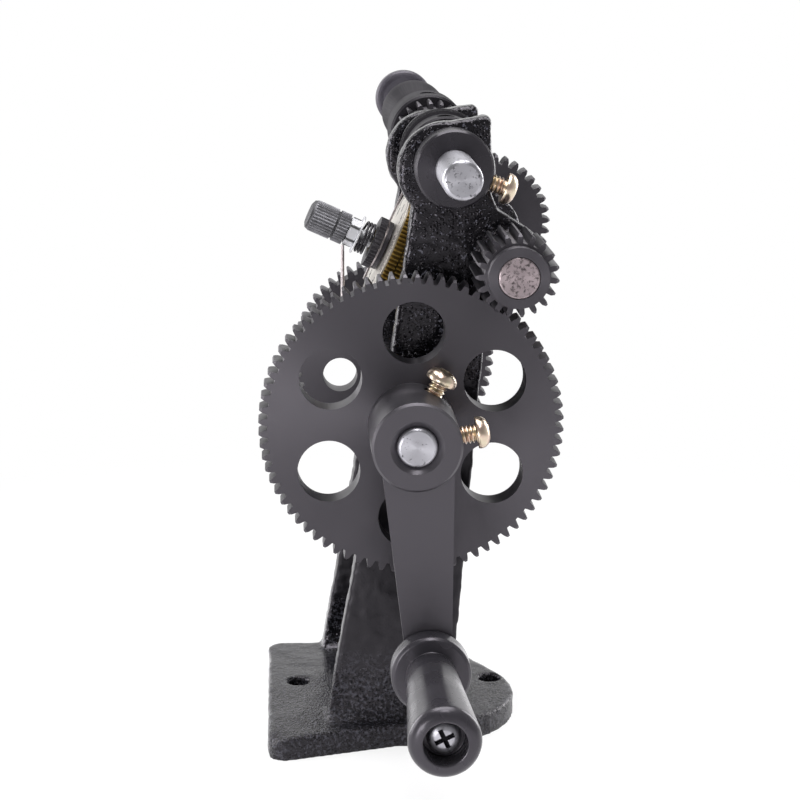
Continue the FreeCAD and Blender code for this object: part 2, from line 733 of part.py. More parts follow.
def make_frame():
    """The one-piece casting: base, two webs, bearing bosses and the counter's bridge."""
    front = make_web("front_web", web_inner)
    rear = make_web("rear_web", -rear_outer, size.rear_lug_drop, size.rear_lug_reach)
    bosses = [
        boss("main_boss_front", MAIN, size.main_boss_radius, size.front_web_station - 1,
             size.front_web_station + size.main_boss_height),
        boss("main_boss_rear", MAIN, size.main_boss_radius,
             -(rear_face - size.boss_gap), -(rear_outer - 1)),
        boss("pinion_boss_front", INTERMEDIATE, size.pinion_boss_radius,
             size.front_web_station - 1, size.front_web_station + size.pinion_boss_height),
        boss("pinion_boss_rear", INTERMEDIATE, size.pinion_boss_radius,
             -(rear_face - size.boss_gap), -(rear_outer - 1)),
    ]
    bridge_place = COUNTER_PLACE.copy()
    span = web_inner + size.rear_web_station
    back = float(size.bridge_back + size.bridge_depth)
    bridge_place.Base = (COUNTER_FOOT - COUNTER_OUT * back
                         - COUNTER_SIDE * float(size.bridge_half_width))
    bridge_place.Base.y = -float(web_inner)
    bridge = box("counter_bridge", size.bridge_half_width * 2, span, size.bridge_depth,
                 bridge_place)
    pad_place = COUNTER_PLACE.copy()
    pad_place.Base = COUNTER_FOOT - COUNTER_OUT * (float(size.bridge_back) + 1)
    pad = cylinder("counter_pad", size.counter_pad_radius, size.bridge_back - size.wheel_back - size.counter_gap + 1,
                   pad_place)
    feet = [foot_fillet("front_foot_fillet", size.front_web_station, 1),
            foot_fillet("front_inner_fillet", web_inner, -1),
            foot_fillet("rear_inner_fillet", -size.rear_web_station, 1)]
    casting = fused("casting", make_base(), front, rear, bridge, pad, *bosses, *feet)
    long = float(size.front_web_station + rear_outer) + 40
    bores = []
    for name, axis, dia in (("main_bore", MAIN, size.shaft_dia),
                            ("pinion_bore", INTERMEDIATE, size.pinion_shaft_dia),
                            ("spindle_bore", SPINDLE, size.shaft_dia)):
        place = on_shaft(*axis)
        place.Base.y = long / 2
        bores.append(cylinder(name, dia / 2 + size.bearing_clearance, long, place))
    for side in (-1, 1):
        place = FreeCAD.Placement(V(side * float(size.bolt_spacing) / 2, 0, -1),
                                  FreeCAD.Rotation())
        bores.append(cylinder("bolt_hole", size.bolt_hole_dia / 2, size.base_thickness + 2, place))
    stud_place = COUNTER_PLACE.copy()
    stud_place.Base = COUNTER_FOOT - COUNTER_OUT * float(size.stud_seat + size.fixed_clearance)
    bores.append(cylinder("stud_hole", size.stud_dia / 2 + size.fixed_clearance,
                          size.stud_seat, stud_place))
    foot = wire_route()[0]
    wire_place = on_shaft(foot.x, foot.z)
    wire_place.Base.y = foot.y
    bores.append(cylinder("wire_hole", size.stop_wire_dia / 2 + size.fixed_clearance,
                          size.stop_wire_seat + 1, wire_place))
    keep(cut("frame_casting", casting, *bores), "frame_casting")


def wire_route():
    """Corners of the stop wire: rear web, left behind the wheels, forward, and up by the nut."""
    low = COUNTER_FOOT.z - float(size.stop_wire_drop)
    right = COUNTER_FOOT.x + float(size.stop_wire_foot)
    left = COUNTER_FOOT.x - float(size.stop_wire_reach)
    behind = COUNTER_FOOT.y + float(size.wheel_radius + size.stop_wire_margin)
    seat = float(size.rear_web_station + size.stop_wire_seat)
    return [V(right, seat, low), V(right, behind, low), V(left, behind, low),
            V(left, COUNTER_FOOT.y, low),
            V(left, COUNTER_FOOT.y, COUNTER_FOOT.z + float(size.stop_wire_rise))]


# Main shaft: crank gear, crank, handle and slow gear

def make_main_shaft():
    bevel = size.shaft_chamfer
    groove = shaft_radius - size.clip_groove_depth
    clip_back = clip_face + size.clip_thickness
    corners = [
        (0, -main_rear), (shaft_radius - bevel, -main_rear), (shaft_radius, bevel - main_rear),
        (shaft_radius, -clip_back), (groove, -clip_back), (groove, -clip_face),
        (shaft_radius, -clip_face), (shaft_radius, crank_front - bevel),
        (shaft_radius - bevel, crank_front), (0, crank_front)]
    keep(turned("main_shaft", corners, on_shaft(*MAIN)), "main_shaft")


def make_big_gear():
    place = on_shaft(*MAIN)
    blank = gear_blank("big_gear_blank", tip_radius(size.big_teeth), big_face, big_back,
                       size.hub_radius, hub_front, fixed_bore, place)
    ring_of_holes(blank, "big_gear", 6, size.big_hole_circle, size.big_hole_angle,
                  size.big_hole_radius)
    gear = steel_gear("big_gear_toothed", blank, size.big_teeth, float(size.big_tooth_angle),
                      big_back, big_face, place)
    station = big_face + size.big_hub_length * 0.52
    hole = tapped("big_gear_tapped", *MAIN, station, size.big_screw_angle, size.hub_radius + 1)
    keep(cut("big_gear", gear, hole), "big_gear")
    keep(pan_screw("big_gear_screw", *MAIN, station, size.big_screw_angle, shaft_radius,
                   size.screw_underside), "big_gear_screw")


def make_crank():
    """Hub with a countersunk bore and a tapering flat arm that hangs down to the handle."""
    place = on_shaft(*MAIN)
    edge = size.shaft_chamfer
    hub = turned("crank_hub", [
        (fixed_bore, hub_front), (size.hub_radius, hub_front),
        (size.hub_radius, crank_front - edge), (size.hub_radius - edge, crank_front),
        (size.crank_countersink, crank_front),
        (fixed_bore, crank_front - (size.crank_countersink - fixed_bore) * 0.8)], place)
    arm_place = on_shaft(*MAIN, float(size.crank_angle))
    arm_place.Base.y = -float(size.arm_front_station - size.arm_thickness)
    arm_place_end = FreeCAD.Placement(V(0, -float(size.crank_radius), 0), FreeCAD.Rotation())
    arm = padded("crank_bar", [
        (-size.arm_root_half, 0), (-size.arm_tip_half, -size.crank_radius),
        (size.arm_tip_half, -size.crank_radius), (size.arm_root_half, 0)],
        size.arm_thickness, arm_place)
    tip = cylinder("crank_tip", size.arm_tip_half, size.arm_thickness, arm_place * arm_place_end)
    blank = fused("crank_blank", hub, arm, tip)
    station = crank_front - size.crank_hub_length * 0.48
    bore = cylinder("crank_bore", fixed_bore, size.crank_hub_length + 2,
                    FreeCAD.Placement(V(MAIN[0], 1 - float(hub_front), MAIN[1]), place.Rotation))
    eye = cylinder("crank_eye", size.handle_bolt_dia / 2 + size.fixed_clearance,
                   size.arm_thickness + 2,
                   arm_place * FreeCAD.Placement(V(0, -float(size.crank_radius), -1),
                                                 FreeCAD.Rotation()))
    hole = tapped("crank_tapped", *MAIN, station, size.crank_screw_angle, size.hub_radius + 1)
    keep(cut("crank_arm", blank, bore, eye, hole), "crank_arm")
    keep(pan_screw("crank_screw", *MAIN, station, size.crank_screw_angle, shaft_radius,
                   size.screw_underside + 0.8), "crank_screw")


def make_handle():
    """Flared grip that turns on a pan-head axle bolt."""
    turn = math.radians(float(size.crank_angle))
    reach = float(size.crank_radius)
    axis = (MAIN[0] + reach * math.sin(turn), MAIN[1] - reach * math.cos(turn))
    place = on_shaft(*axis)
    start = size.arm_front_station + size.boss_gap
    end = start + size.handle_length
    bore = size.handle_bolt_dia / 2 + size.running_clearance
    guard = size.handle_flange_radius
    recess = end - size.handle_recess_depth
    dome_width = size.handle_end_radius - size.handle_recess_radius - size.boss_gap
    dome = []
    for step in range(5):
        turn = math.radians(90 * step / 4)
        dome.append((size.handle_end_radius - dome_width * (1 - math.cos(turn)),
                     end - size.handle_dome * (1 - math.sin(turn))))
    keep(turned("handle_grip", [
        (bore, start), (guard - 0.6, start), (guard, start + 0.6),
        (guard, start + size.handle_flange_length - 0.8),
        (guard - 0.8, start + size.handle_flange_length),
        (size.handle_neck_radius, start + size.handle_flange_length),
        *dome, (size.handle_recess_radius, end - size.boss_gap),
        (size.handle_recess_radius, recess), (bore, recess)], place), "handle_grip")
    shank = size.handle_bolt_dia / 2
    head = size.handle_bolt_head
    seat = recess + size.boss_gap
    tall = size.handle_bolt_head_height
    blank = turned("handle_bolt_blank", [
        (0, size.arm_front_station - size.arm_thickness),
        (shank, size.arm_front_station - size.arm_thickness), (shank, seat), (head, seat),
        (head, seat + tall * 0.35), (head * 0.84, seat + tall * 0.75), (head * 0.5, seat + tall),
        (0, seat + tall)], place)
    slots = []
    for angle in (25, 115):
        shift = FreeCAD.Placement(V(-float(head) * 0.6, -0.55, float(seat + tall * 0.5)),
                                  FreeCAD.Rotation())
        slots.append(box(f"handle_bolt_slot{angle}", head * 1.2, 1.1, tall,
                         on_shaft(*axis, angle) * shift))
    keep(cut("handle_bolt", blank, *slots), "handle_bolt")


def make_slow_gear():
    place = on_shaft(*MAIN)
    angle = mate_angle(float(size.step_tooth_angle), size.step_teeth,
                       float(size.mesh_angle) + 180, size.slow_teeth)
    bore = shaft_radius + size.running_clearance
    blank = gear_blank("slow_gear_blank", tip_radius(size.slow_teeth), -rear_face, -rear_back,
                       size.slow_hub_radius, -slow_hub_end, bore, place)
    ring_of_holes(blank, "slow_gear", 6, size.slow_hole_circle, size.slow_hole_angle,
                  size.slow_hole_radius)
    gear = steel_gear("slow_gear_toothed", blank, size.slow_teeth, angle, -rear_back, -rear_face,
                      place)
    station = -(rear_back + size.slow_hub_length / 2)
    hole = tapped("slow_gear_tapped", *MAIN, station, size.slow_screw_angle,
                  size.slow_hub_radius + 1)
    keep(cut("slow_gear", gear, hole), "slow_gear")
    keep(pan_screw("slow_gear_screw", *MAIN, station, size.slow_screw_angle,
                   shaft_radius + size.slow_screw_backed_off, size.screw_underside),
         "slow_gear_screw")
    inner = shaft_radius - size.clip_groove_depth + size.fixed_clearance
    ring = turned("clip_ring", [
        (inner, -(clip_face + size.clip_thickness)),
        (size.clip_radius, -(clip_face + size.clip_thickness)),
        (size.clip_radius, -clip_face), (inner, -clip_face)], place)
    gap = box("clip_gap", size.shaft_dia * 0.7, size.clip_radius + 1, size.clip_thickness + 2,
              place * FreeCAD.Placement(V(-float(size.shaft_dia) * 0.35, 0,
                                          -float(clip_face + size.clip_thickness) - 1),
                                        FreeCAD.Rotation()))
    keep(cut("shaft_clip", ring, gap), "shaft_clip")


# Intermediate shaft

def make_intermediate():
    place = on_shaft(*INTERMEDIATE)
    radius = size.pinion_shaft_dia / 2
    bore = radius + size.fixed_clearance
    bevel = size.shaft_chamfer
    keep(turned("intermediate_shaft", [
        (0, -step_hub_end), (radius - bevel, -step_hub_end), (radius, bevel - step_hub_end),
        (radius, pinion_front - bevel * 0.5), (radius - bevel * 0.5, pinion_front),
        (0, pinion_front)], place), "intermediate_shaft")
    angle = mate_angle(float(size.big_tooth_angle), size.big_teeth, float(size.mesh_angle),
                       size.pinion_teeth)
    blank = gear_blank("front_pinion_blank", tip_radius(size.pinion_teeth), pinion_face,
                       pinion_back, size.pinion_hub_radius, pinion_front, bore, place)
    keep(steel_gear("front_pinion", blank, size.pinion_teeth, angle, pinion_back, pinion_face,
                    place), "front_pinion")
    blank = gear_blank("step_gear_blank", tip_radius(size.step_teeth), -rear_face, -rear_back,
                       size.step_hub_radius, -step_hub_end, bore, place)
    keep(steel_gear("step_gear", blank, size.step_teeth, float(size.step_tooth_angle),
                    -rear_back, -rear_face, place), "step_gear")


# Spindle and what it carries

def set_screw(name, axis, station, angle, reach):
    """Headless screw whose tip bears on the 10 mm shaft."""
    shank = size.screw_dia / 2
    return keep(turned(name, [
        (0, shaft_radius), (shank - 0.5, shaft_radius), (shank, shaft_radius + 0.5),
        (shank, shaft_radius + reach), (1.0, shaft_radius + reach),
        (1.0, shaft_radius + reach - 0.9), (0, shaft_radius + reach - 0.9)],
        radial(*axis, station, angle)), name)


def make_spindle():
    place = on_shaft(*SPINDLE)
    bevel = size.shaft_chamfer
    keep(turned("spindle", [
        (0, -size.spindle_rear), (shaft_radius - bevel, -size.spindle_rear),
        (shaft_radius, bevel - size.spindle_rear), (shaft_radius, size.spindle_front - bevel),
        (shaft_radius - bevel, size.spindle_front), (0, size.spindle_front)], place), "spindle")


def make_collar():
    place = on_shaft(*SPINDLE)
    back = size.front_web_station + size.boss_gap * 0.7
    front = back + size.collar_length
    bevel = size.collar_chamfer
    blank = turned("collar_blank", [
        (fixed_bore, back), (size.collar_radius - 0.4, back), (size.collar_radius, back + 0.4),
        (size.collar_radius, front - bevel), (size.collar_radius - bevel, front),
        (fixed_bore, front)], place)
    station = back + size.collar_length * 0.54
    hole = tapped("collar_tapped", *SPINDLE, station, size.collar_screw_angle,
                  size.collar_radius + 1)
    keep(cut("spindle_collar", blank, hole), "spindle_collar")
    keep(pan_screw("collar_screw", *SPINDLE, station, size.collar_screw_angle, shaft_radius,
                   size.screw_underside - 0.6), "collar_screw")


def make_spindle_pinion():
    place = on_shaft(*SPINDLE)
    step_angle = float(size.step_tooth_angle)
    angle = mate_angle(step_angle, size.step_teeth, float(size.spindle_mesh_angle),
                       size.pinion_teeth)
    hub_face = rear_outer + size.boss_gap * 0.7
    back = rear_face + size.spindle_pinion_width
    bevel = size.gear_chamfer
    rim = tip_radius(size.pinion_teeth)
    blank = turned("spindle_pinion_blank", [
        (fixed_bore, -back), (rim - bevel, -back), (rim, bevel - back),
        (rim, -rear_face - bevel), (rim - bevel, -rear_face), (size.pinion_hub_radius, -rear_face),
        (size.pinion_hub_radius, -hub_face), (fixed_bore, -hub_face)], place)
    gear = steel_gear("spindle_pinion_toothed", blank, size.pinion_teeth, angle, -back,
                      -rear_face, place)
    station = -(hub_face + rear_face) / 2
    hole = tapped("spindle_pinion_tapped", *SPINDLE, station, 90, size.pinion_hub_radius + 1)
    keep(cut("spindle_pinion", gear, hole), "spindle_pinion")
    set_screw("pinion_set_screw", SPINDLE, station, 90,
              size.pinion_hub_radius - shaft_radius - 0.2)


def worm_thread(lead, root, height, turns, start_angle, middle):
    """One-start right-hand trapezoid thread, centred on a station, sunk a little in its sleeve."""
    length = lead * turns
    sunk = 0.15
    slope = math.tan(math.radians(20))
    crest = lead / 4 - float(size.brass_thinning) / 2 - slope * height * 0.45
    foot = crest + slope * (height + sunk)
    helix = Part.makeHelix(lead, length, root)
    profile = Part.makePolygon([
        V(root - sunk, 0, -foot), V(root + height, 0, -crest), V(root + height, 0, crest),
        V(root - sunk, 0, foot), V(root - sunk, 0, -foot)])
    sweep = Part.BRepOffsetAPI.MakePipeShell(Part.Wire(helix))
    sweep.setFrenetMode(True)
    sweep.add(Part.Wire(profile))
    sweep.build()
    sweep.makeSolid()
    thread = sweep.shape()
    thread.rotate(ORIGIN, UP, start_angle)
    thread.translate(V(0, 0, middle - length / 2))
    return thread


def make_worm():
    """Sleeve on the spindle between the lugs, threaded where it drives the counter wheels."""
    place = on_shaft(*SPINDLE)
    lead = 2 * math.pi * float(size.wheel_radius) / float(size.unit_teeth)
    root = float(size.worm_root_radius)
    station = float(size.counter_station)
    facing = math.degrees(math.atan2(-COUNTER_SIDE.z, -COUNTER_SIDE.x))
    turns = float(size.worm_turns)
    # a ridge stands half a lead from the wheels' middle, where it faces them
    start = facing - 360 * (turns / 2 + 0.5)
    thread = worm_thread(lead, root, float(size.worm_thread_height), turns, start, station)
    bevel = size.collar_chamfer
    sleeve = turned("worm_sleeve", [
        (fixed_bore, -size.worm_rear), (size.worm_root_radius - bevel, -size.worm_rear),
        (size.worm_root_radius, bevel - size.worm_rear),
        (size.worm_root_radius, size.worm_front - bevel),
        (size.worm_root_radius - bevel, size.worm_front), (fixed_bore, size.worm_front)])
    screw_station = size.worm_front - 3.6
    hole = cylinder("worm_tapped", size.screw_dia / 2 + size.fixed_clearance,
                    size.worm_root_radius + 2,
                    FreeCAD.Placement(V(0, 0, float(screw_station)),
                                      FreeCAD.Rotation(V(1, 0, 0), -90)))
    drilled = cut("worm_drilled", sleeve, hole)
    doc.recompute()
    keep(solid("counter_worm", drilled.Shape.fuse(thread), place), "counter_worm")
    set_screw("worm_set_screw", SPINDLE, screw_station, 90, size.set_screw_length * 2)


def make_cones():
    place = on_shaft(*SPINDLE)
    near = size.near_cone_front
    rim_end = near + size.near_cone_rim
    nose = rim_end + size.cone_length
    edge = size.shaft_chamfer
    blank = turned("near_cone_blank", [
        (fixed_bore, -nose), (size.cone_nose_radius, -nose), (size.near_cone_radius, -rim_end),
        (size.near_cone_radius, -near - edge), (size.near_cone_radius - edge, -near),
        (fixed_bore, -near)], place)
    station = -(near + size.near_cone_rim / 2)
    hole = tapped("near_cone_tapped", *SPINDLE, station, 90, size.near_cone_radius + 1)
    keep(cut("near_cone", blank, hole), "near_cone")
    set_screw("cone_set_screw", SPINDLE, station, 90, size.set_screw_length * 2.4)

    bore = shaft_radius + size.slide_clearance
    start = size.far_cone_front
    rim_start = start + size.cone_length
    rim_end = rim_start + size.far_cone_rim
    keep(turned("far_cone", [
        (bore, -rim_end), (size.far_cone_radius - edge, -rim_end),
        (size.far_cone_radius, edge - rim_end), (size.far_cone_radius, -rim_start),
        (size.cone_nose_radius, -start), (bore, -start)], place), "far_cone")
    keep(hex_nut("clamp_nut", size.clamp_nut_flats, -(rim_end + size.clamp_nut_height),
                 size.clamp_nut_height, bore, place), "clamp_nut")


def make_end_nut():
    """Round nut with a dished front."""
    front = size.end_nut_front
    back = front + size.end_nut_thickness
    radius = size.end_nut_radius
    edge = size.shaft_chamfer
    floor = front + size.end_nut_dish
    keep(turned("end_nut", [
        (fixed_bore, -back), (radius - edge, -back), (radius, edge - back),
        (radius, -front - edge), (radius - edge, -front), (radius - size.end_nut_lip, -front),
        (radius - size.end_nut_lip - size.end_nut_dish, -floor), (fixed_bore, -floor)],
        on_shaft(*SPINDLE)), "end_nut")


# Turn counter, along its own stud from the worm's middle outwards

wheel_module = size.wheel_radius * 2 / size.unit_teeth
hundreds_front = size.derive("hundreds_front", size.wheel_width - size.wheel_back,
                             "front face of the hundreds wheel")
units_back = size.derive("units_back", hundreds_front + size.counter_gap,
                         "back face of the units wheel")
units_front = size.derive("units_front", units_back + size.wheel_width,
                          "front face of the units wheel")
dial_front = size.derive("dial_front", units_front + size.dial_thickness, "dial face")
friction_back = size.derive("friction_back", dial_front + size.counter_gap,
                            "back of the friction ring")
friction_front = size.derive("friction_front", friction_back + size.friction_thickness,
                             "front of the friction ring")
pointer_back = size.derive("pointer_back", friction_front + size.fixed_clearance,
                           "back of the pointer")
pointer_front = size.derive("pointer_front", pointer_back + size.pointer_thickness,
                            "front of the pointer")
ring_front = size.derive("ring_front", pointer_front + size.ring_thickness,
                         "front of the setting ring")
washer_back = size.derive("washer_back", ring_front + size.counter_gap * 2
                          + size.spring_pitch * size.spring_turns + size.spring_wire,
                          "back of the washer, past the spring")
nut_back = size.derive("nut_back", washer_back + size.washer_thickness, "back of the nut")
knob_back = size.derive("knob_back", nut_back + size.counter_nut_height + size.counter_gap,
                        "inner end of the knob")
knob_front = size.derive("knob_front", knob_back + size.knob_length, "outer end of the knob")


def disc(name, inner, outer, low, high):
    return turned(name, [(inner, low), (outer, low), (outer, high), (inner, high)], COUNTER_PLACE)


def make_brass_wheel(name, blank, teeth):
    """Brass wheel cut on the common blank radius, a tooth facing the worm."""
    radius = float(size.wheel_radius)
    count = int(float(teeth))
    module = float(wheel_module)
    corners = tooth_corners(count, module, float(size.brass_thinning), radius, 0.0, 1)
    outer = radius + 3 * module
    return keep(toothed(name, blank, corners, outer, -float(size.wheel_back) - 1,
                        float(units_front) + 0.2, COUNTER_PLACE), name)


def make_counter_wheels():
    rim = size.wheel_radius + wheel_module * 1.5
    stud_bore = size.stud_dia / 2 + size.stud_clearance
    sleeve = size.sleeve_radius
    hundreds = turned("hundreds_blank", [
        (stud_bore, -size.wheel_back), (rim, -size.wheel_back), (rim, hundreds_front),
        (sleeve, hundreds_front), (sleeve, ring_front), (stud_bore, ring_front)], COUNTER_PLACE)
    make_brass_wheel("hundreds_wheel", hundreds, size.hundred_teeth)
    units = disc("units_blank", sleeve + size.stud_clearance, rim, units_back, units_front)
    make_brass_wheel("units_wheel", units, size.unit_teeth)
    keep(disc("dial_plate", sleeve + size.counter_gap, size.dial_radius, units_front, dial_front),
         "dial_plate")
    keep(disc("friction_ring", sleeve + size.fixed_clearance, size.friction_radius, friction_back,
              friction_front), "friction_ring")


def make_pointer():
    """Thin disc with a long arm, a tail and a bore that fits the sleeve."""
    low = float(pointer_back)
    lift = COUNTER_PLACE * FreeCAD.Placement(V(0, 0, low), FreeCAD.Rotation())
    half = size.pointer_half_width
    hub = cylinder("pointer_disc", size.pointer_hub, size.pointer_thickness, lift)
    arm = padded("pointer_arm", [
        (-size.pointer_tail, -half * 0.8), (size.pointer_reach, -half * 0.25),
        (size.pointer_reach, half * 0.25), (-size.pointer_tail, half * 0.8)],
        size.pointer_thickness, lift)
    bore = cylinder("pointer_bore", size.sleeve_radius + size.stud_clearance, 3,
                    COUNTER_PLACE * FreeCAD.Placement(V(0, 0, low - 1), FreeCAD.Rotation()))
    keep(cut("pointer", fused("pointer_blank", hub, arm), bore), "pointer")


def make_setting_ring():
    blank = disc("ring_blank", size.sleeve_radius + size.stud_clearance, size.ring_radius,
                 pointer_front, ring_front)
    corners = knurl_corners(40, float(size.ring_radius) + 0.01, float(size.knurl_depth))
    keep(toothed("setting_ring", blank, corners, float(size.ring_radius) + 1,
                 float(pointer_front) - 1, float(ring_front) + 1, COUNTER_PLACE), "setting_ring")


def arc_between(start, bend, end):
    """Arc from start to end whose tangents meet at bend, half way along each."""
    middle = (start + end) * 0.5
    half_chord = (end - start).Length / 2
    leg = (bend - start).Length
    sagitta = half_chord * math.tan(math.acos(min(1.0, half_chord / leg)) / 2)
    return Part.Arc(start, middle + (bend - middle).normalize() * sagitta, end).toShape()


def biarc(start, start_way, end, end_way):
    """Two arcs that join two points and keep both directions."""
    chord = end - start
    ways = start_way + end_way
    share = 2 * (1 - start_way.dot(end_way))
    along = chord.dot(ways)
    leg = (math.sqrt(along * along + share * chord.dot(chord)) - along) / share
    first = start + start_way * leg
    second = end - end_way * leg
    joint = (first + second) * 0.5
    return [arc_between(start, first, joint), arc_between(joint, second, end)]


def make_spring():
    """Coil of round wire from the setting ring to the washer, one unbroken tube."""
    wire = float(size.spring_wire)
    radius = float(size.spring_radius)
    pitch = float(size.spring_pitch)
    turns = float(size.spring_turns)
    start = float(ring_front + size.counter_gap) + wire / 2
    quarters = round(turns * 4)

    def point(turn):
        return V(radius * math.cos(turn), radius * math.sin(turn),
                 start + pitch * turn / (2 * math.pi))

    def way(turn):
        return V(-radius * math.sin(turn), radius * math.cos(turn),
                 pitch / (2 * math.pi)).normalize()

    angles = [i * math.pi / 2 for i in range(quarters + 1)]
    edges = [Part.LineSegment(point(0) - way(0) * wire, point(0)).toShape()]
    for low, high in zip(angles, angles[1:]):
        edges += biarc(point(low), way(low), point(high), way(high))
    last = angles[-1]
    edges.append(Part.LineSegment(point(last), point(last) + way(last) * wire).toShape())
    path = Part.Wire(edges)
    section = Part.Wire(Part.makeCircle(wire / 2, point(0) - way(0) * wire, way(0)))
    sweep = Part.BRepOffsetAPI.MakePipeShell(path)
    sweep.add(section)
    sweep.build()
    sweep.makeSolid()
    keep(solid("counter_spring", sweep.shape(), COUNTER_PLACE), "counter_spring")
    samples = [point(2 * math.pi * turns * i / 360) for i in range(361)]
    apart = round(360 / turns / 2)
    gap = min((samples[i] - samples[j]).Length
              for i in range(0, 361) for j in range(i + apart, 361)) - wire
    print(f"counter spring: least gap to itself {gap:.2f} mm")


def make_counter_hardware():
    """Stud, washer, nut and thumb knob at the outer end."""
    stud = size.stud_dia / 2
    stud_end = knob_front - 3.0
    keep(turned("counter_stud", [
        (0, -size.stud_seat), (stud, -size.stud_seat), (stud, stud_end - 0.4), (stud - 0.4, stud_end), (0, stud_end)],
        COUNTER_PLACE), "counter_stud")
    bore = stud + size.fixed_clearance
    keep(disc("counter_washer", bore, size.washer_radius, washer_back, nut_back),
         "counter_washer")
    keep(hex_nut("counter_nut", size.counter_nut_flats, nut_back, size.counter_nut_height, bore,
                 COUNTER_PLACE), "counter_nut")
    radius = size.knob_radius
    groove = knob_back + size.knob_groove
    loose = stud + size.running_clearance
    blank = turned("knob_blank", [
        (loose, knob_back), (radius, knob_back), (radius, groove - 0.35),
        (radius - 0.5, groove - 0.2), (radius - 0.5, groove + 0.2), (radius, groove + 0.35),
        (radius, knob_front - 1.6), (radius - 0.5, knob_front - 0.5), (radius - 1.6, knob_front),
        (0, knob_front), (0, stud_end + 0.4), (loose, stud_end + 0.4)], COUNTER_PLACE)
    corners = knurl_corners(30, float(radius) + 0.01, float(size.knurl_depth))
    keep(toothed("counter_knob", blank, corners, float(radius) + 1, float(knob_back) - 1,
                 float(knob_front) - 1.2, COUNTER_PLACE), "counter_knob")


def make_stop_wire():
    """Bent round wire along its route, each corner an arc."""
    bend = float(size.stop_wire_bend)
    route = wire_route()
    start = route[0]
    edges = []
    for before, corner, after in zip(route, route[1:], route[2:]):
        into = (corner - before).normalize() * bend
        out_of = (after - corner).normalize() * bend
        edges.append(Part.LineSegment(start, corner - into).toShape())
        edges.append(arc_between(corner - into, corner, corner + out_of))
        start = corner + out_of
    edges.append(Part.LineSegment(start, route[-1]).toShape())
    section = Part.Wire(Part.makeCircle(float(size.stop_wire_dia) / 2, route[0],
                                        route[1] - route[0]))
    sweep = Part.BRepOffsetAPI.MakePipeShell(Part.Wire(edges))
    sweep.add(section)
    sweep.build()
    sweep.makeSolid()
    keep(solid("stop_wire", sweep.shape()), "stop_wire")


def build():
    make_frame()
    make_main_shaft()
    make_big_gear()
    make_crank()
    make_handle()
    make_slow_gear()
    make_intermediate()
    make_spindle()
    make_collar()
    make_spindle_pinion()
    make_worm()
    make_cones()
    make_end_nut()
    make_counter_wheels()
    make_pointer()
    make_setting_ring()
    make_spring()
    make_counter_hardware()
    make_stop_wire()
    doc.recompute()


def check():
    """Stop on any feature that failed and on any sub-part that isn't sound."""
    for item in doc.Objects:
        if "Invalid" in item.State or "Error" in item.State:
            raise RuntimeError(f"{item.Label} failed: {item.State}")
    for item in PARTS:
        shape = item.Shape
        if shape.isNull() or not shape.isValid() or not shape.Solids:
            raise RuntimeError(f"{item.Label} isn't a sound solid")


def export():
    os.makedirs("parts", exist_ok=True)
    for item in PARTS:
        item.Shape.exportStep(f"parts/{item.Label}.step")


build()
check()
export()
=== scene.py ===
"""Finish of a hand winding machine: cast frame, black gears, bright shafts, brass counter."""

import json
import math

import bmesh
import bpy
from bpy.props import FloatProperty, FloatVectorProperty, IntProperty, PointerProperty
from mathutils import Matrix, Vector, noise

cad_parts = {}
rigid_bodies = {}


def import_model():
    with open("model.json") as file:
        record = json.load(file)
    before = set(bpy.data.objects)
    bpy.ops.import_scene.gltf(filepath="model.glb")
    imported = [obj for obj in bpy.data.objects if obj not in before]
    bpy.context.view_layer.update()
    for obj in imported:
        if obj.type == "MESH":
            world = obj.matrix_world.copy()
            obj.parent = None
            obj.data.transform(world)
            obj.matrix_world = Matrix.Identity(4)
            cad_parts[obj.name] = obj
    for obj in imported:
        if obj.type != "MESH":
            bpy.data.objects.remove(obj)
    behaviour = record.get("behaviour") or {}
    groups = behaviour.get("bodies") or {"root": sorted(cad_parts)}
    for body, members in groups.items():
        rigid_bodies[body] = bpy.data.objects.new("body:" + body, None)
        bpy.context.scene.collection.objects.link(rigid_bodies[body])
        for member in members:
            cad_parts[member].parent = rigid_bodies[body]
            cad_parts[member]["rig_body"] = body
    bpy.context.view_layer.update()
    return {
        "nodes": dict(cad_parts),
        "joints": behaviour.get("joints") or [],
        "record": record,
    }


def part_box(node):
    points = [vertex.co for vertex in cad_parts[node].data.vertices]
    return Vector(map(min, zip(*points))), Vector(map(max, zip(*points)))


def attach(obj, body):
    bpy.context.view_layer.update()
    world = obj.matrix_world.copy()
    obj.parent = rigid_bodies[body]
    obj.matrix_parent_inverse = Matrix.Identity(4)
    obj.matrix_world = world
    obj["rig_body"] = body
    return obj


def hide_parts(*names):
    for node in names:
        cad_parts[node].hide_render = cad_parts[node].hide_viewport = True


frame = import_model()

bl_info = {
    "name": "Hand Winding Machine Finish",
    "version": (1, 0, 0),
    "blender": (4, 5, 0),
    "location": "3D View > Sidebar > Winder",
    "description": "Surfaces, threads and marks for a geared hand winding machine",
    "category": "Object",
}

MM = 0.001
NODES = frame["nodes"]
JOINTS = {joint["name"]: joint for joint in frame["joints"]}


def linear(code):
    """Linear colour of an sRGB hex value."""
    channels = [int(code[i:i + 2], 16) / 255 for i in (1, 3, 5)]
    return tuple(c / 12.92 if c <= 0.04045 else ((c + 0.055) / 1.055) ** 2.4
                 for c in channels) + (1.0,)


def colour(name, description, code):
    """A colour property whose default is an sRGB hex value."""
    return FloatVectorProperty(name=name, description=description, subtype="COLOR", size=4,
                               min=0, max=1, default=linear(code))


def length(name, description, metres):
    """A length property in metres."""
    return FloatProperty(name=name, description=description, subtype="DISTANCE", unit="LENGTH",
                         precision=5, default=metres)


# Settings that a user would change

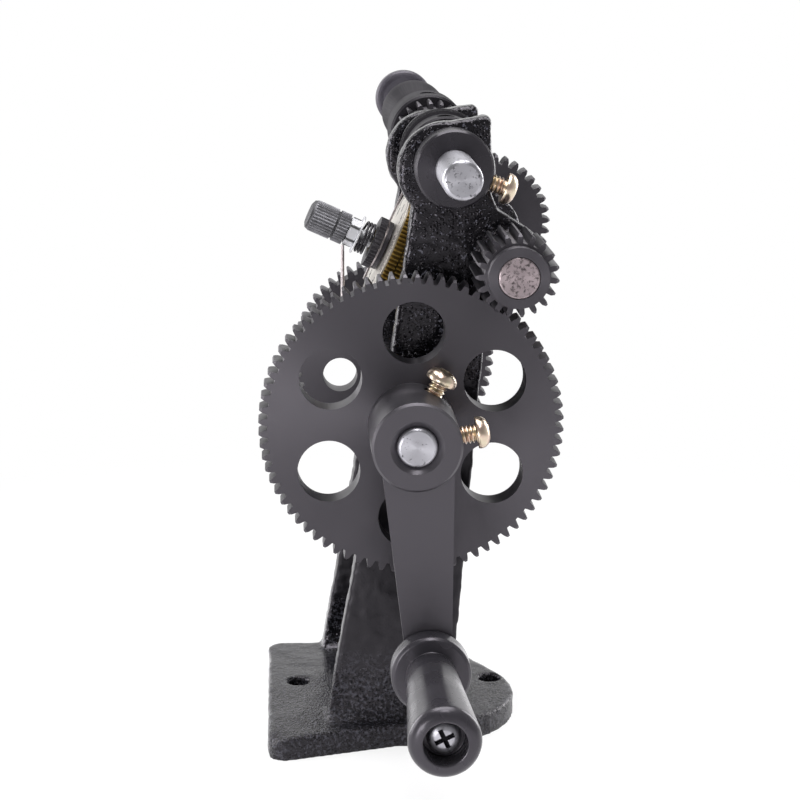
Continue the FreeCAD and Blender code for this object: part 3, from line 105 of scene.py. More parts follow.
class WinderColours(bpy.types.PropertyGroup):
    """Colours of the finishes"""
    enamel: colour("Casting Enamel", "Thick black enamel of the frame", "#09090b")
    oxide: colour("Black Oxide", "Blackened steel of gears and crank", "#1a191c")
    steel: colour("Bright Steel", "Ground shafts", "#a6a5ab")
    stained: colour("Stained Steel", "The intermediate shaft", "#9b8f92")
    plate: colour("Bright Plate", "Nut, washer and stud of the counter", "#c6c6ca")
    zinc: colour("Yellow Zinc", "Plated screws", "#c8bda6")
    brass: colour("Brass", "Counter wheels", "#b9984c")
    dial: colour("Dial", "Pale dial plate", "#d2ccc4")
    mark: colour("Dial Marks", "Figures and lines of the dial", "#222226")
    knob: colour("Knob", "Grey thumb knob", "#88878c")
    wire: colour("Wire", "Stop wire and pointer", "#a79fa0")
    floor: colour("Floor", "Pale floor", "#f6f5f7")


class WinderSizes(bpy.types.PropertyGroup):
    """Sizes of the fine forms"""
    edge: length("Broken Edge", "Rounding of machined edges", 0.18 * MM)
    voxel: length("Casting Voxel", "Mesh spacing of the casting", 0.7 * MM)
    lump: length("Casting Lumps", "Height of the casting's broad waves", 0.28 * MM)
    web_round: length("Web Rounding", "Rounding of the outer edges of the webs", 0.9 * MM)
    worn: length("Worn Corner", "How far the base's front corner is rounded down", 1.8 * MM)
    grain: length("Casting Grain", "Height of the sand grain", 0.13 * MM)
    pitch: length("Thread Pitch", "Pitch of the fixing screws", 1.0 * MM)
    depth: length("Thread Depth", "Depth of their thread", 0.60 * MM)
    shank: length("Shank", "Diameter of the fixing screws", 4.8 * MM)
    chamfer: length("Shaft Chamfer", "Broken edge at the ends of the shafts", 0.40 * MM)
    coil: length("Spring Wire", "Diameter of the spring's wire", 0.66 * MM)
    head: length("Head Height", "Height of the pan heads", 3.2 * MM)
    figure: length("Figure Height", "Height of the dial's figures", 2.4 * MM)
    hub: length("Pinion Hub", "How far the front pinion's hub stands proud", 3.5 * MM)
    marks: IntProperty(name="Dial Marks", description="Lines round the dial", default=100, min=20)


class WinderStage(bpy.types.PropertyGroup):
    """Camera and light"""
    camera: FloatVectorProperty(name="Camera", description="Place of the camera",
                                subtype="TRANSLATION", default=(-0.0315, -0.5906, 0.2165))
    down: FloatProperty(name="Looks Down", description="Camera below level", subtype="ANGLE",
                        default=math.radians(12.35))
    right: FloatProperty(name="Looks Right", description="Camera towards +X", subtype="ANGLE",
                         default=math.radians(3.207))
    lens: FloatProperty(name="Lens", description="Focal length in millimetres", default=99.0)
    lamp: FloatProperty(name="Lamp Power", description="Watts that each lamp has its share of",
                        default=6.0)
    sky: FloatProperty(name="Surround", description="Strength of the white surround on the part",
                       default=0.5)
    front: FloatProperty(name="Dark Front", description="How bright the surround behind the "
                         "camera is in reflections", default=0.35)


# Mesh helpers

# Degrees between faces past which an edge is shaded sharp, and past which it is broken
SHARP, BROKEN = 40, 38


def new_piece(name, bm):
    """A mesh object at the origin from a finished bmesh."""
    mesh = bpy.data.meshes.new(name)
    bm.to_mesh(mesh)
    bm.free()
    piece = bpy.data.objects.new(name, mesh)
    bpy.context.scene.collection.objects.link(piece)
    return piece


def merged_copy(node):
    """The node's mesh with its corners joined and its flat faces whole."""
    bm = bmesh.new()
    bm.from_mesh(NODES[node].data)
    bmesh.ops.remove_doubles(bm, verts=bm.verts, dist=0.002 * MM)
    bmesh.ops.dissolve_limit(bm, angle_limit=math.radians(0.5), verts=bm.verts, edges=bm.edges)
    return bm


def smooth_under(mesh, degrees):
    """Smooth shading, with edges kept sharp where faces meet at more than the angle."""
    bm = bmesh.new()
    bm.from_mesh(mesh)
    limit = math.radians(degrees)
    for face in bm.faces:
        face.smooth = True
    for edge in bm.edges:
        edge.smooth = edge.is_manifold and edge.calc_face_angle(0) < limit
    bm.to_mesh(mesh)
    bm.free()


def finish_piece(piece, material, node):
    """Material, body and slot of a piece that stands for a CAD node."""
    piece.data.materials.clear()
    piece.data.materials.append(material)
    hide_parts(node)
    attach(piece, NODES[node]["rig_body"])
    return piece


def machined(node, material, width=None, reshape=None):
    """A copy of the node whose corners are broken as a turned or cut piece's are. The width of
    the broken corners is the usual one unless it is given, and 0 leaves them sharp."""
    bm = merged_copy(node)
    if reshape:
        reshape(bm)
    piece = new_piece(node + "_machined", bm)
    smooth_under(piece.data, SHARP)
    if width is None:
        width = bpy.context.scene.winder_sizes.edge
    if width > 0:
        bevel = piece.modifiers.new("broken_edges", "BEVEL")
        bevel.width = width
        bevel.segments = 2
        bevel.limit_method = "ANGLE"
        bevel.angle_limit = math.radians(BROKEN)
        bevel.use_clamp_overlap = True
        shading = piece.modifiers.new("even_shading", "WEIGHTED_NORMAL")
        shading.keep_sharp = True
    return finish_piece(piece, material, node)


def apply_modifiers(piece):
    """Make the piece's modifiers part of its mesh."""
    bpy.context.view_layer.update()
    graph = bpy.context.evaluated_depsgraph_get()
    mesh = bpy.data.meshes.new_from_object(piece.evaluated_get(graph))
    piece.modifiers.clear()
    piece.data = mesh


def lathe(bm, corners, steps=48):
    """Turn (radius, height) corners round Z into a closed skin."""
    verts = [bm.verts.new((radius, 0, height)) for radius, height in corners]
    edges = [bm.edges.new(pair) for pair in zip(verts, verts[1:])]
    bmesh.ops.spin(bm, geom=verts + edges, cent=(0, 0, 0), axis=(0, 0, 1), angle=math.tau,
                   steps=steps, use_merge=True)
    bmesh.ops.remove_doubles(bm, verts=bm.verts, dist=0.001 * MM)
    bmesh.ops.recalc_face_normals(bm, faces=bm.faces)


def helix_thread(bm, radius, depth, pitch, low, high, steps=24):
    """V thread from low to high: one pitch of profile, turned while it climbs."""
    root = radius - depth
    crest = radius - 0.1 * depth
    profile = [(root, 0.0), (crest, 0.40 * pitch), (crest, 0.60 * pitch), (root, pitch)]
    verts = [bm.verts.new((r, 0, low + z)) for r, z in profile]
    edges = [bm.edges.new(pair) for pair in zip(verts, verts[1:])]
    turns = max(1, round((high - low) / pitch) - 1)
    bmesh.ops.spin(bm, geom=verts + edges, cent=(0, 0, 0), axis=(0, 0, 1),
                   dvec=(0, 0, pitch / steps), angle=math.tau * turns, steps=steps * turns)
    bmesh.ops.remove_doubles(bm, verts=bm.verts, dist=0.01 * MM)
    bmesh.ops.recalc_face_normals(bm, faces=bm.faces)


def counter_axis():
    """Foot of the counter's axis and the turn that carries Z onto it."""
    joint = JOINTS["units_turn"]
    turn = Vector(joint["axis"]).to_track_quat("Z", "Y").to_matrix().to_4x4()
    return Vector(joint["pos_m"]), turn


def seen_from_counter(node):
    """Corners of a node measured from the foot of the counter's axis, with that axis along Z."""
    base, turn = counter_axis()
    upright = turn.inverted() @ Matrix.Translation(-base)
    return [upright @ vert.co for vert in NODES[node].data.vertices]


# Material helpers

def connect(tree, node, inputs):
    """Give a node its inputs, by name or number: a value, or a socket to link from."""
    for name, value in inputs.items():
        if isinstance(value, bpy.types.NodeSocket):
            tree.links.new(value, node.inputs[name])
        else:
            node.inputs[name].default_value = value


# Inputs given in order stand as the node lists them: a Map Range has its value, the two ends that
# it comes from and the two that it goes to. A Mix node goes by number: 0 is its factor, 2 and 3
# are the numbers that it mixes, and 6 and 7 the colours, which leave by output 2.

def add_node(tree, kind, inputs=(), out=0, **settings):
    """Add a node with its settings and inputs, and give one of its outputs."""
    made = tree.nodes.new("ShaderNode" + kind)
    for name, value in settings.items():
        setattr(made, name, value)
    connect(tree, made, inputs if isinstance(inputs, dict) else dict(enumerate(inputs)))
    return made.outputs[out]


def new_material(name):
    """A material with only its shader and output, and Object coordinates to read."""
    material = bpy.data.materials.new(name)
    material.use_nodes = True
    tree = material.node_tree
    shader = tree.nodes["Principled BSDF"]
    return material, tree, shader, add_node(tree, "TexCoord", out="Object")


def darker(rgba, share):
    """The colour with its light cut, or raised, to a share."""
    return tuple(c * share for c in rgba[:3]) + (1.0,)


# The film on blackened steel and the enamel both reflect with a faint violet cast
TINT = (0.96, 0.90, 1.0, 1.0)

# Where the casting's skin changes: rough foot, dressed webs, rough bearings, and front to back
FOOT_TOP, WEB_LOW = 16 * MM, 27 * MM
WEB_HIGH, BEARINGS_LOW = 92 * MM, 106 * MM
ROUGH_FRONT, SMOOTH_BACK = -14 * MM, 12 * MM


def cast_enamel():
    """Sand-cast iron under black enamel: glossy, with sand grain that glints at the foot and round
    the bearings, where paler specks are painted on as glints too, and satin half way up the webs,
    where the pattern was dressed."""
    material, tree, shader, place = new_material("cast_enamel")
    base = tuple(bpy.context.scene.winder_colours.enamel)

    along = add_node(tree, "SeparateXYZ", (place,)).node.outputs
    foot = add_node(tree, "MapRange", (along["Z"], FOOT_TOP, WEB_LOW, 1.0, 0.0))
    bearings = add_node(tree, "MapRange", (along["Z"], WEB_HIGH, BEARINGS_LOW, 0.0, 1.0))
    front = add_node(tree, "MapRange", (along["Y"], ROUGH_FRONT, SMOOTH_BACK, 1.0, 0.25))
    foot_grain = add_node(tree, "Math", (foot, front), operation="MULTIPLY")
    rough_zones = add_node(tree, "Math", (foot_grain, bearings), operation="MAXIMUM")
    glossy_zones = add_node(tree, "Math", (foot, bearings), operation="MAXIMUM")

    # The grain is strong in patches, and a little weaker on the base's flat top
    clouds = add_node(tree, "TexNoise", {"Vector": place, "Scale": 1 / (9 * MM), "Detail": 3.0})
    patches = add_node(tree, "MapRange", (clouds, 0.40, 0.58, 0.5, 1.0))
    facing = add_node(tree, "TexCoord", out="Normal")
    upward = add_node(tree, "SeparateXYZ", (facing,), "Z")
    flat = add_node(tree, "MapRange", (upward, 0.35, 0.85, 0.0, 0.15))
    filled = add_node(tree, "Math", (flat, foot), operation="MULTIPLY")
    open_skin = add_node(tree, "Math", (1.0, filled), operation="SUBTRACT")
    uneven = add_node(tree, "Math", (open_skin, patches), operation="MULTIPLY")
    zoned = add_node(tree, "MapRange", (rough_zones, 0.0, 1.0, 0.08, 1.0))
    amount = add_node(tree, "Math", (zoned, uneven), operation="MULTIPLY")

    # Sand just under 0.5 mm, coarser than the real so that it shows, and rounded grains of 0.8 mm,
    # of which more stand out at the foot
    sand = add_node(tree, "TexNoise", {"Vector": place, "Scale": 1 / (0.45 * MM),
                                       "Roughness": 0.55})
    cells = add_node(tree, "TexVoronoi", {"Vector": place, "Scale": 1 / (0.80 * MM)}).node.outputs
    lump = add_node(tree, "MapRange", (cells["Distance"], 0.0, 0.55, 1.0, 0.0),
                    interpolation_type="SMOOTHSTEP")
    drawn = add_node(tree, "SeparateXYZ", (cells["Color"],), "X")
    more = add_node(tree, "MapRange", (foot_grain, 0.0, 1.0, 0.0, 0.35))
    chance = add_node(tree, "Math", (drawn, more), operation="ADD")
    kept = add_node(tree, "MapRange", (chance, 0.35, 0.85, 0.0, 1.0))
    grains = add_node(tree, "Math", (lump, kept), operation="MULTIPLY")

    # Painted glints: paler specks on the crests of a noise at the foot, and sparse, still paler
    # ones round the bearings
    glint_noise = add_node(tree, "TexNoise", {"Vector": place, "Scale": 1 / (0.9 * MM), "Detail": 3.0,
                                         "Roughness": 0.6})
    crests = add_node(tree, "MapRange", (glint_noise, 0.49, 0.62, 0.0, 1.0))
    foot_painted_glints = add_node(tree, "Math", (crests, foot), operation="MULTIPLY")
    sparse_glint_spots = add_node(tree, "MapRange", (glint_noise, 0.61, 0.67, 0.0, 1.0))
    bearing_painted_glints = add_node(tree, "Math", (sparse_glint_spots, bearings), operation="MULTIPLY")
    film = add_node(tree, "Mix", {0: sand, 6: darker(base, 0.5), 7: darker(base, 1.6)}, 2,
                    data_type="RGBA")
    # The base colour takes the painted glints: first the paler specks at the foot, then those round
    # the bearings
    skin = add_node(tree, "Mix", {0: foot_painted_glints, 6: film, 7: darker(base, 14.0)}, 2, data_type="RGBA")
    worn = add_node(tree, "Mix", {0: bearing_painted_glints, 6: skin, 7: darker(base, 40.0)}, 2, data_type="RGBA")

    coarse_step = add_node(tree, "MapRange", (foot, 0.0, 1.0, 0.42 * MM, 0.60 * MM))
    coarse = add_node(tree, "Bump", {"Height": grains, "Strength": amount,
                                     "Distance": coarse_step})
    fine_step = add_node(tree, "MapRange", (foot_grain, 0.0, 0.8, 0.06 * MM, 0.42 * MM))
    fine = add_node(tree, "Bump", {"Height": sand, "Strength": amount, "Distance": fine_step,
                                   "Normal": coarse})
    rough = add_node(tree, "MapRange", (glossy_zones, 0.0, 1.0, 0.36, 0.18))
    connect(tree, shader, {"Base Color": worn, "Roughness": rough, "Normal": fine,
                           "Specular Tint": TINT, "Specular IOR Level": 0.36})
    return material


def outward(tree, place, joint):
    """Place measured from the joint's axis, and the direction away from that axis. It leans along
    the axis, so that it also lies in the sides of turned pieces: tool marks run round the axis
    and spread the sheen this way."""
    x, _, z = JOINTS[joint]["pos_m"]
    centred = add_node(tree, "Mapping", {"Vector": place, "Location": (-x, 0, -z),
                                         "Scale": (1, 0, 1)})
    away = add_node(tree, "VectorMath", (centred,), operation="NORMALIZE")
    leaning = add_node(tree, "VectorMath", (away, (0, 0.5, 0)), operation="ADD")
    return centred, leaning


def black_oxide(name, rough=0.40, tone=1.0, joint=None, index=1.7):
    """Steel with an oiled magnetite film, which is optically dense: even dark grey with a soft
    sheen, drawn outwards from the axis where the piece was turned about a joint."""
    material, tree, shader, place = new_material(name)
    base = darker(tuple(bpy.context.scene.winder_colours.oxide), tone)
    clouds = add_node(tree, "TexNoise", {"Vector": place, "Scale": 1 / (9 * MM), "Detail": 3.0})
    film = add_node(tree, "Mix", {0: clouds, 6: darker(base, 0.82), 7: darker(base, 1.22)}, 2,
                    data_type="RGBA")
    sheen = add_node(tree, "MapRange", (clouds, 0.3, 0.7, rough - 0.05, rough + 0.06))
    pores = add_node(tree, "TexNoise", {"Vector": place, "Scale": 1 / (0.35 * MM)})
    skin = add_node(tree, "Bump", {"Height": pores, "Strength": 0.10, "Distance": 0.03 * MM})
    connect(tree, shader, {"Base Color": film, "Roughness": sheen, "Normal": skin, "IOR": index,
                           "Specular Tint": TINT})
    if joint:
        leaning = outward(tree, place, joint)[1]
        connect(tree, shader, {"Anisotropic": 0.7, "Tangent": leaning})
    return material


def ground_steel(name, joint, base, marks):
    """Bright bar faced on a lathe: faint rings about its axis, a sheen drawn outwards, and dull
    marks, few on a fresh end and many on a stained one."""
    material, tree, shader, place = new_material(name)
    centred, leaning = outward(tree, place, joint)

    # Rings 2 mm apart, because the tool's real feed is too fine to show
    rings = add_node(tree, "TexWave", {"Vector": centred, "Scale": 1 / (6.3 * MM),
                                       "Distortion": 1.2, "Detail": 2.0}, "Fac",
                     wave_type="RINGS", rings_direction="Y")

    smut = add_node(tree, "TexNoise", {"Vector": place, "Scale": 1 / (1.1 * MM), "Detail": 4.0,
                                       "Roughness": 0.70})
    clean = add_node(tree, "MapRange", (smut, 0.62 - marks, 0.70 - marks * 0.6, 1.0, 0.0))
    skin = add_node(tree, "Mix", {0: clean, 6: darker(base, 0.22), 7: base}, 2, data_type="RGBA")
    sheen = add_node(tree, "MapRange", (clean, 0.0, 1.0, 0.50, 0.36))
    pitted = add_node(tree, "Bump", {"Height": clean, "Strength": 0.35, "Distance": 0.05 * MM})
    turned = add_node(tree, "Bump", {"Height": rings, "Strength": 0.25, "Distance": 0.03 * MM,
                                     "Normal": pitted})
    connect(tree, shader, {"Base Color": skin, "Roughness": sheen, "Normal": turned,
                           "Tangent": leaning, "Metallic": 1.0, "Anisotropic": 0.6})
    return material


def yellow_zinc():
    """Zinc plate with a yellow passivate: bright metal that shades from straw to pink."""
    material, tree, shader, place = new_material("yellow_zinc_plate")
    straw = tuple(bpy.context.scene.winder_colours.zinc)
    pink = (straw[0], straw[1] * 0.86, straw[2] * 0.95, 1.0)
    film = add_node(tree, "TexNoise", {"Vector": place, "Scale": 1 / (2.0 * MM)})
    thick = add_node(tree, "MapRange", (film, 0.35, 0.65, 0.0, 1.0))
    skin = add_node(tree, "Mix", {0: thick, 6: straw, 7: pink}, 2, data_type="RGBA")
    connect(tree, shader, {"Base Color": skin, "Metallic": 1.0, "Roughness": 0.28})
    return material


def counter_radius(tree, place):
    """Distance from the counter's axis."""
    joint = JOINTS["units_turn"]
    away = add_node(tree, "VectorMath", (place, joint["pos_m"]), operation="SUBTRACT")
    across = add_node(tree, "VectorMath", (away, joint["axis"]), operation="CROSS_PRODUCT")
    return add_node(tree, "VectorMath", (across,), "Value", operation="LENGTH")


def grooved_metal(name, base, rough, metallic, depth, radius):
    """Cut metal with patchy tarnish, whose grooves, the given depth below the radius, are painted
    dark as shade.
    """
    material, tree, shader, place = new_material(name)
    tarnish = add_node(tree, "TexNoise", {"Vector": place, "Scale": 1 / (2.4 * MM), "Detail": 3.0})
    dull = add_node(tree, "MapRange", (tarnish, 0.4, 0.7, 0.0, 1.0))
    clean = add_node(tree, "Mix", {0: dull, 6: base, 7: darker(base, 0.62)}, 2, data_type="RGBA")
    # Painted shade in the grooves: below the tops the colour darkens
    out = counter_radius(tree, place)
    tops = add_node(tree, "MapRange", (out, radius - depth, radius, 0.0, 1.0))
    skin = add_node(tree, "Mix", {0: tops, 6: darker(base, 0.22), 7: clean}, 2, data_type="RGBA")
    sheen = add_node(tree, "MapRange", (tops, 0.0, 1.0, rough + 0.2, rough))
    connect(tree, shader, {"Base Color": skin, "Roughness": sheen, "Metallic": metallic})
    return material


def plain_metal(name, base, rough, metallic, dark_from=None):
    """Plated, anodised or printed small surface with a faint mottle. Its corners are painted dark
    as shade where they lie further from the counter's axis than dark_from."""
    material, tree, shader, place = new_material(name)
    mottle = add_node(tree, "TexNoise", {"Vector": place, "Scale": 1 / (1.2 * MM)})
    skin = add_node(tree, "Mix", {0: mottle, 6: darker(base, 0.85), 7: darker(base, 1.1)}, 2,
                    data_type="RGBA")
    if dark_from:
        # Painted shade on the corners beyond dark_from
        out = counter_radius(tree, place)
        corner = add_node(tree, "MapRange", (out, dark_from, dark_from + 0.1 * MM, 0.0, 1.0))
        skin = add_node(tree, "Mix", {0: corner, 6: skin, 7: darker(base, 0.12)}, 2,
                        data_type="RGBA")
    connect(tree, shader, {"Base Color": skin, "Metallic": metallic, "Roughness": rough})
    return material


# Operators, one for each group of pieces

# The casting is machined round its bearings and bolt holes: radius up to which it stays true, and
# over what distance the cast skin comes in beyond it
BOSS_TRUE, BOSS_FADE = 10.5 * MM, 2.5 * MM
BOLT_TRUE, BOLT_FADE = 3.6 * MM, 1.5 * MM

# Heights on the casting: up to what its foot stays true and over what the skin comes in, about how
# thick the base is, below what a place is on the base or at its bolt holes, and above what on a web
FOOT_TRUE, FOOT_FADE = 0.2 * MM, 1.2 * MM
BASE_THICK = 6 * MM
BASE_TOP = 9 * MM
HOLES_TOP = 10 * MM
WEBS_FROM = 12 * MM

# Only web corners sharper than this are rounded, and only this far from a bearing's axis
WEB_CORNER = math.radians(60)
BORE_CLEAR = 8 * MM

# Sizes of the casting's waves, ripples and sand lumps, and of the base's worn corner
WAVE, RIPPLE, SAND = 8 * MM, 3.5 * MM, 1.6 * MM
CORNER_REACH = 8 * MM


def clamped(value):
    """Value held between 0 and 1."""
    return min(1.0, max(0.0, value))


class WINDER_OT_casting(bpy.types.Operator):
    """Cast frame with rounded, uneven edges and a sandy skin"""
    bl_idname = "winder.casting"
    bl_label = "Casting"

    def execute(self, context):
        sizes = context.scene.winder_sizes
        self.axes = [Vector((JOINTS[name]["pos_m"][0], JOINTS[name]["pos_m"][2]))
                     for name in ("crank_turn", "intermediate_turn", "spindle_turn")]
        self.bolts = frame["record"]["mounts"][0]["dims"]
        bm = merged_copy("frame_casting")
        self.round_webs(bm, sizes.web_round)
        piece = new_piece("frame_casting_skin", bm)
        remesh = piece.modifiers.new("voxels", "REMESH")
        remesh.mode = "VOXEL"
        remesh.voxel_size = sizes.voxel
        apply_modifiers(piece)
        bm = bmesh.new()
        bm.from_mesh(piece.data)
        self.soften(bm)
        self.roughen(bm, sizes)
        self.true_up(bm, sizes.voxel)
        bm.to_mesh(piece.data)
        bm.free()
        smooth_under(piece.data, 180)
        finish_piece(piece, cast_enamel(), "frame_casting")
        return {"FINISHED"}

    def from_bores(self, place):
        """Distance to the nearest bearing's axis."""
        return min((place.xz - axis).length for axis in self.axes)

    def from_bolt(self, place):
        """Distance to the nearest bolt hole's axis."""
        return math.hypot(abs(place.x) - self.bolts["spacing_x_mm"] * MM / 2, place.y)

    def share(self, place):
        """How far the cast skin is free to move: not on bosses, in bolt holes or under the foot."""
        free = clamped((self.from_bores(place) - BOSS_TRUE) / BOSS_FADE)
        if place.z < HOLES_TOP:
            free *= clamped((self.from_bolt(place) - BOLT_TRUE) / BOLT_FADE)
        return free * clamped((place.z - FOOT_TRUE) / FOOT_FADE)

    def round_webs(self, bm, radius):
        """Large roundings that the pattern gives to the outer edges of the webs."""
        edges = [edge for edge in bm.edges
                 if edge.is_manifold and edge.is_convex
                 and edge.calc_face_angle() > WEB_CORNER
                 and min(vert.co.z for vert in edge.verts) > WEBS_FROM
                 and min(self.from_bores(vert.co) for vert in edge.verts) > BORE_CLEAR]
        bmesh.ops.bevel(bm, geom=edges, offset=radius, affect="EDGES", segments=3, profile=0.5,
                        material=-1)

    def soften(self, bm):
        """Round off the skin's steps, more on the webs than on the base."""
        free = [vert for vert in bm.verts if self.share(vert.co) > 0.6]
        upper = [vert for vert in free if vert.co.z > BASE_TOP]
        for verts, passes in ((free, 1), (upper, 2)):
            for _ in range(passes):
                bmesh.ops.smooth_vert(bm, verts=verts, factor=0.5, use_axis_x=True,
                                      use_axis_y=True, use_axis_z=True)

    def roughen(self, bm, sizes):
        """Broad waves and sand grain, weaker on the flat top of the base."""
        bm.normal_update()
        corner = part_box("frame_casting")[0]
        moves = []
        for vert in bm.verts:
            place = vert.co
            on_base = place.z < BASE_TOP
            flat = 0.5 if on_base and vert.normal.z > 0.7 else 1.0
            wave = noise.noise(place / WAVE) + 0.5 * noise.noise(place / RIPPLE)
            sand = noise.noise(place / SAND)
            move = vert.normal * self.share(place) * flat * (wave * sizes.lump + sand * sizes.grain)
            near = max(0.0, 1 - (place.xy - corner.xy).length / CORNER_REACH)
            if on_base:
                move.z -= sizes.worn * near * near * place.z / BASE_THICK
            moves.append(move)
        for vert, move in zip(bm.verts, moves):
            vert.co += move

    def true_up(self, bm, voxel):
        """A flat foot and round bolt holes."""
        hole = self.bolts["hole_r_mm"] * MM
        near = 0.7 * voxel
        for vert in bm.verts:
            if vert.co.z < near:
                vert.co.z = 0
            apart = self.from_bolt(vert.co)
            if vert.co.z < HOLES_TOP and 0 < apart < hole + near:
                centre_x = math.copysign(self.bolts["spacing_x_mm"] * MM / 2, vert.co.x)
                vert.co.x = centre_x + (vert.co.x - centre_x) * hole / apart
                vert.co.y *= hole / apart


# Edges that hands and other teeth have rounded further, and those of the smallest pieces
WORN_EDGE = 0.3 * MM
NUT_EDGE = 0.12 * MM
SMALL_EDGE = 0.08 * MM
THIN_EDGE = 0.05 * MM


class WINDER_OT_black_steel(bpy.types.Operator):
    """Blackened gears, crank, collar, worm, cones and nuts"""
    bl_idname = "winder.black_steel"
    bl_label = "Black Steel"

    def execute(self, context):
        self.hub = context.scene.winder_sizes.hub
        for node, joint, tone in (
                ("big_gear", "crank_turn", 0.95), ("front_pinion", "intermediate_turn", 1.0),
                ("step_gear", "intermediate_turn", 1.0), ("slow_gear", "slow_gear_turn", 1.0),
                ("spindle_pinion", "spindle_turn", 1.0), ("crank_arm", None, 1.25)):
            machined(node, black_oxide("oxide_" + node, tone=tone, joint=joint),
                     WORN_EDGE if node == "big_gear" else None,
                     self.lengthen if node == "front_pinion" else None)
        for node, rough, tone, index in (
                ("spindle_collar", 0.26, 1.2, 1.5), ("near_cone", 0.50, 1.1, 1.3),
                ("far_cone", 0.50, 1.1, 1.3), ("clamp_nut", 0.40, 1.0, 1.4),
                ("end_nut", 0.40, 5.0, 1.5)):
            machined(node, black_oxide("turned_" + node, rough, tone, "spindle_turn", index))
        small = black_oxide("black_oxide_fastener", tone=0.8, index=1.5)
        for node in ("shaft_clip", "pinion_set_screw", "worm_set_screw", "cone_set_screw"):
            machined(node, small)
        worm = black_oxide("black_oxide_worm", rough=0.5, tone=0.8, index=1.3)
        machined("counter_worm", worm, 0)
        grip = black_oxide("black_oxide_grip", rough=0.27, tone=1.7, index=1.5)
        machined("handle_grip", grip, WORN_EDGE)
        return {"FINISHED"}

    def lengthen(self, bm):
        """The front pinion's teeth run forward until only a short hub stands proud of them."""
        front = min(vert.co.y for vert in bm.verts)
        past_corner = front + 1 * MM
        flank = min(vert.co.y for vert in bm.verts if vert.co.y > past_corner)
        first, last = flank - 0.1 * MM, flank + 0.9 * MM
        forward = flank - front - self.hub
        for vert in bm.verts:
            if first < vert.co.y < last:
                vert.co.y -= forward


class WINDER_OT_shafts(bpy.types.Operator):
    """Bright shafts and the handle's bolt"""
    bl_idname = "winder.shafts"
    bl_label = "Shafts"

    def execute(self, context):
        bright = tuple(context.scene.winder_colours.steel)
        stained = tuple(context.scene.winder_colours.stained)
        for node, joint, base, marks in (
                ("main_shaft", "crank_turn", bright, 0.02),
                ("spindle", "spindle_turn", bright, 0.06),
                ("intermediate_shaft", "intermediate_turn", stained, 0.12)):
            machined(node, ground_steel(node + "_steel", joint, base, marks),
                     context.scene.winder_sizes.chamfer)
        steel = ground_steel("handle_bolt_steel", "handle_spin", bright, 0.0)
        self.blacken_recess(machined("handle_bolt", steel, SMALL_EDGE))
        return {"FINISHED"}

    def blacken_recess(self, bolt):
        """Painted shade in the cross recess, which lies this far out and back in the bolt's head.
        """
        reach, shallow, deep = 2.6 * MM, 0.6 * MM, 2.6 * MM
        # A dark material laid on the recess walls as painted shade
        recess_shade = black_oxide("recess_painted_shade", rough=0.6, tone=0.5, index=1.2)
        bolt.data.materials.append(recess_shade)
        x, _, z = JOINTS["handle_spin"]["pos_m"]
        front = min(vert.co.y for vert in bolt.data.vertices)
        for face in bolt.data.polygons:
            inside = math.hypot(face.center.x - x, face.center.z - z) < reach
            if inside and front + shallow < face.center.y < front + deep:
                face.material_index = 1


# Pan head: radius and height of its corners, as shares of the head's
PAN_HEAD = ((0.97, 0.0), (1.0, 0.08), (1.0, 0.30), (0.95, 0.52), (0.80, 0.76), (0.55, 0.93),
            (0.25, 1.0))

# Cross recess: length and width of each slot as shares of the head's radius, and the height of
# its cutter, of which half sinks in, as a share of the head's
CROSS = (1.15, 0.24, 1.1)


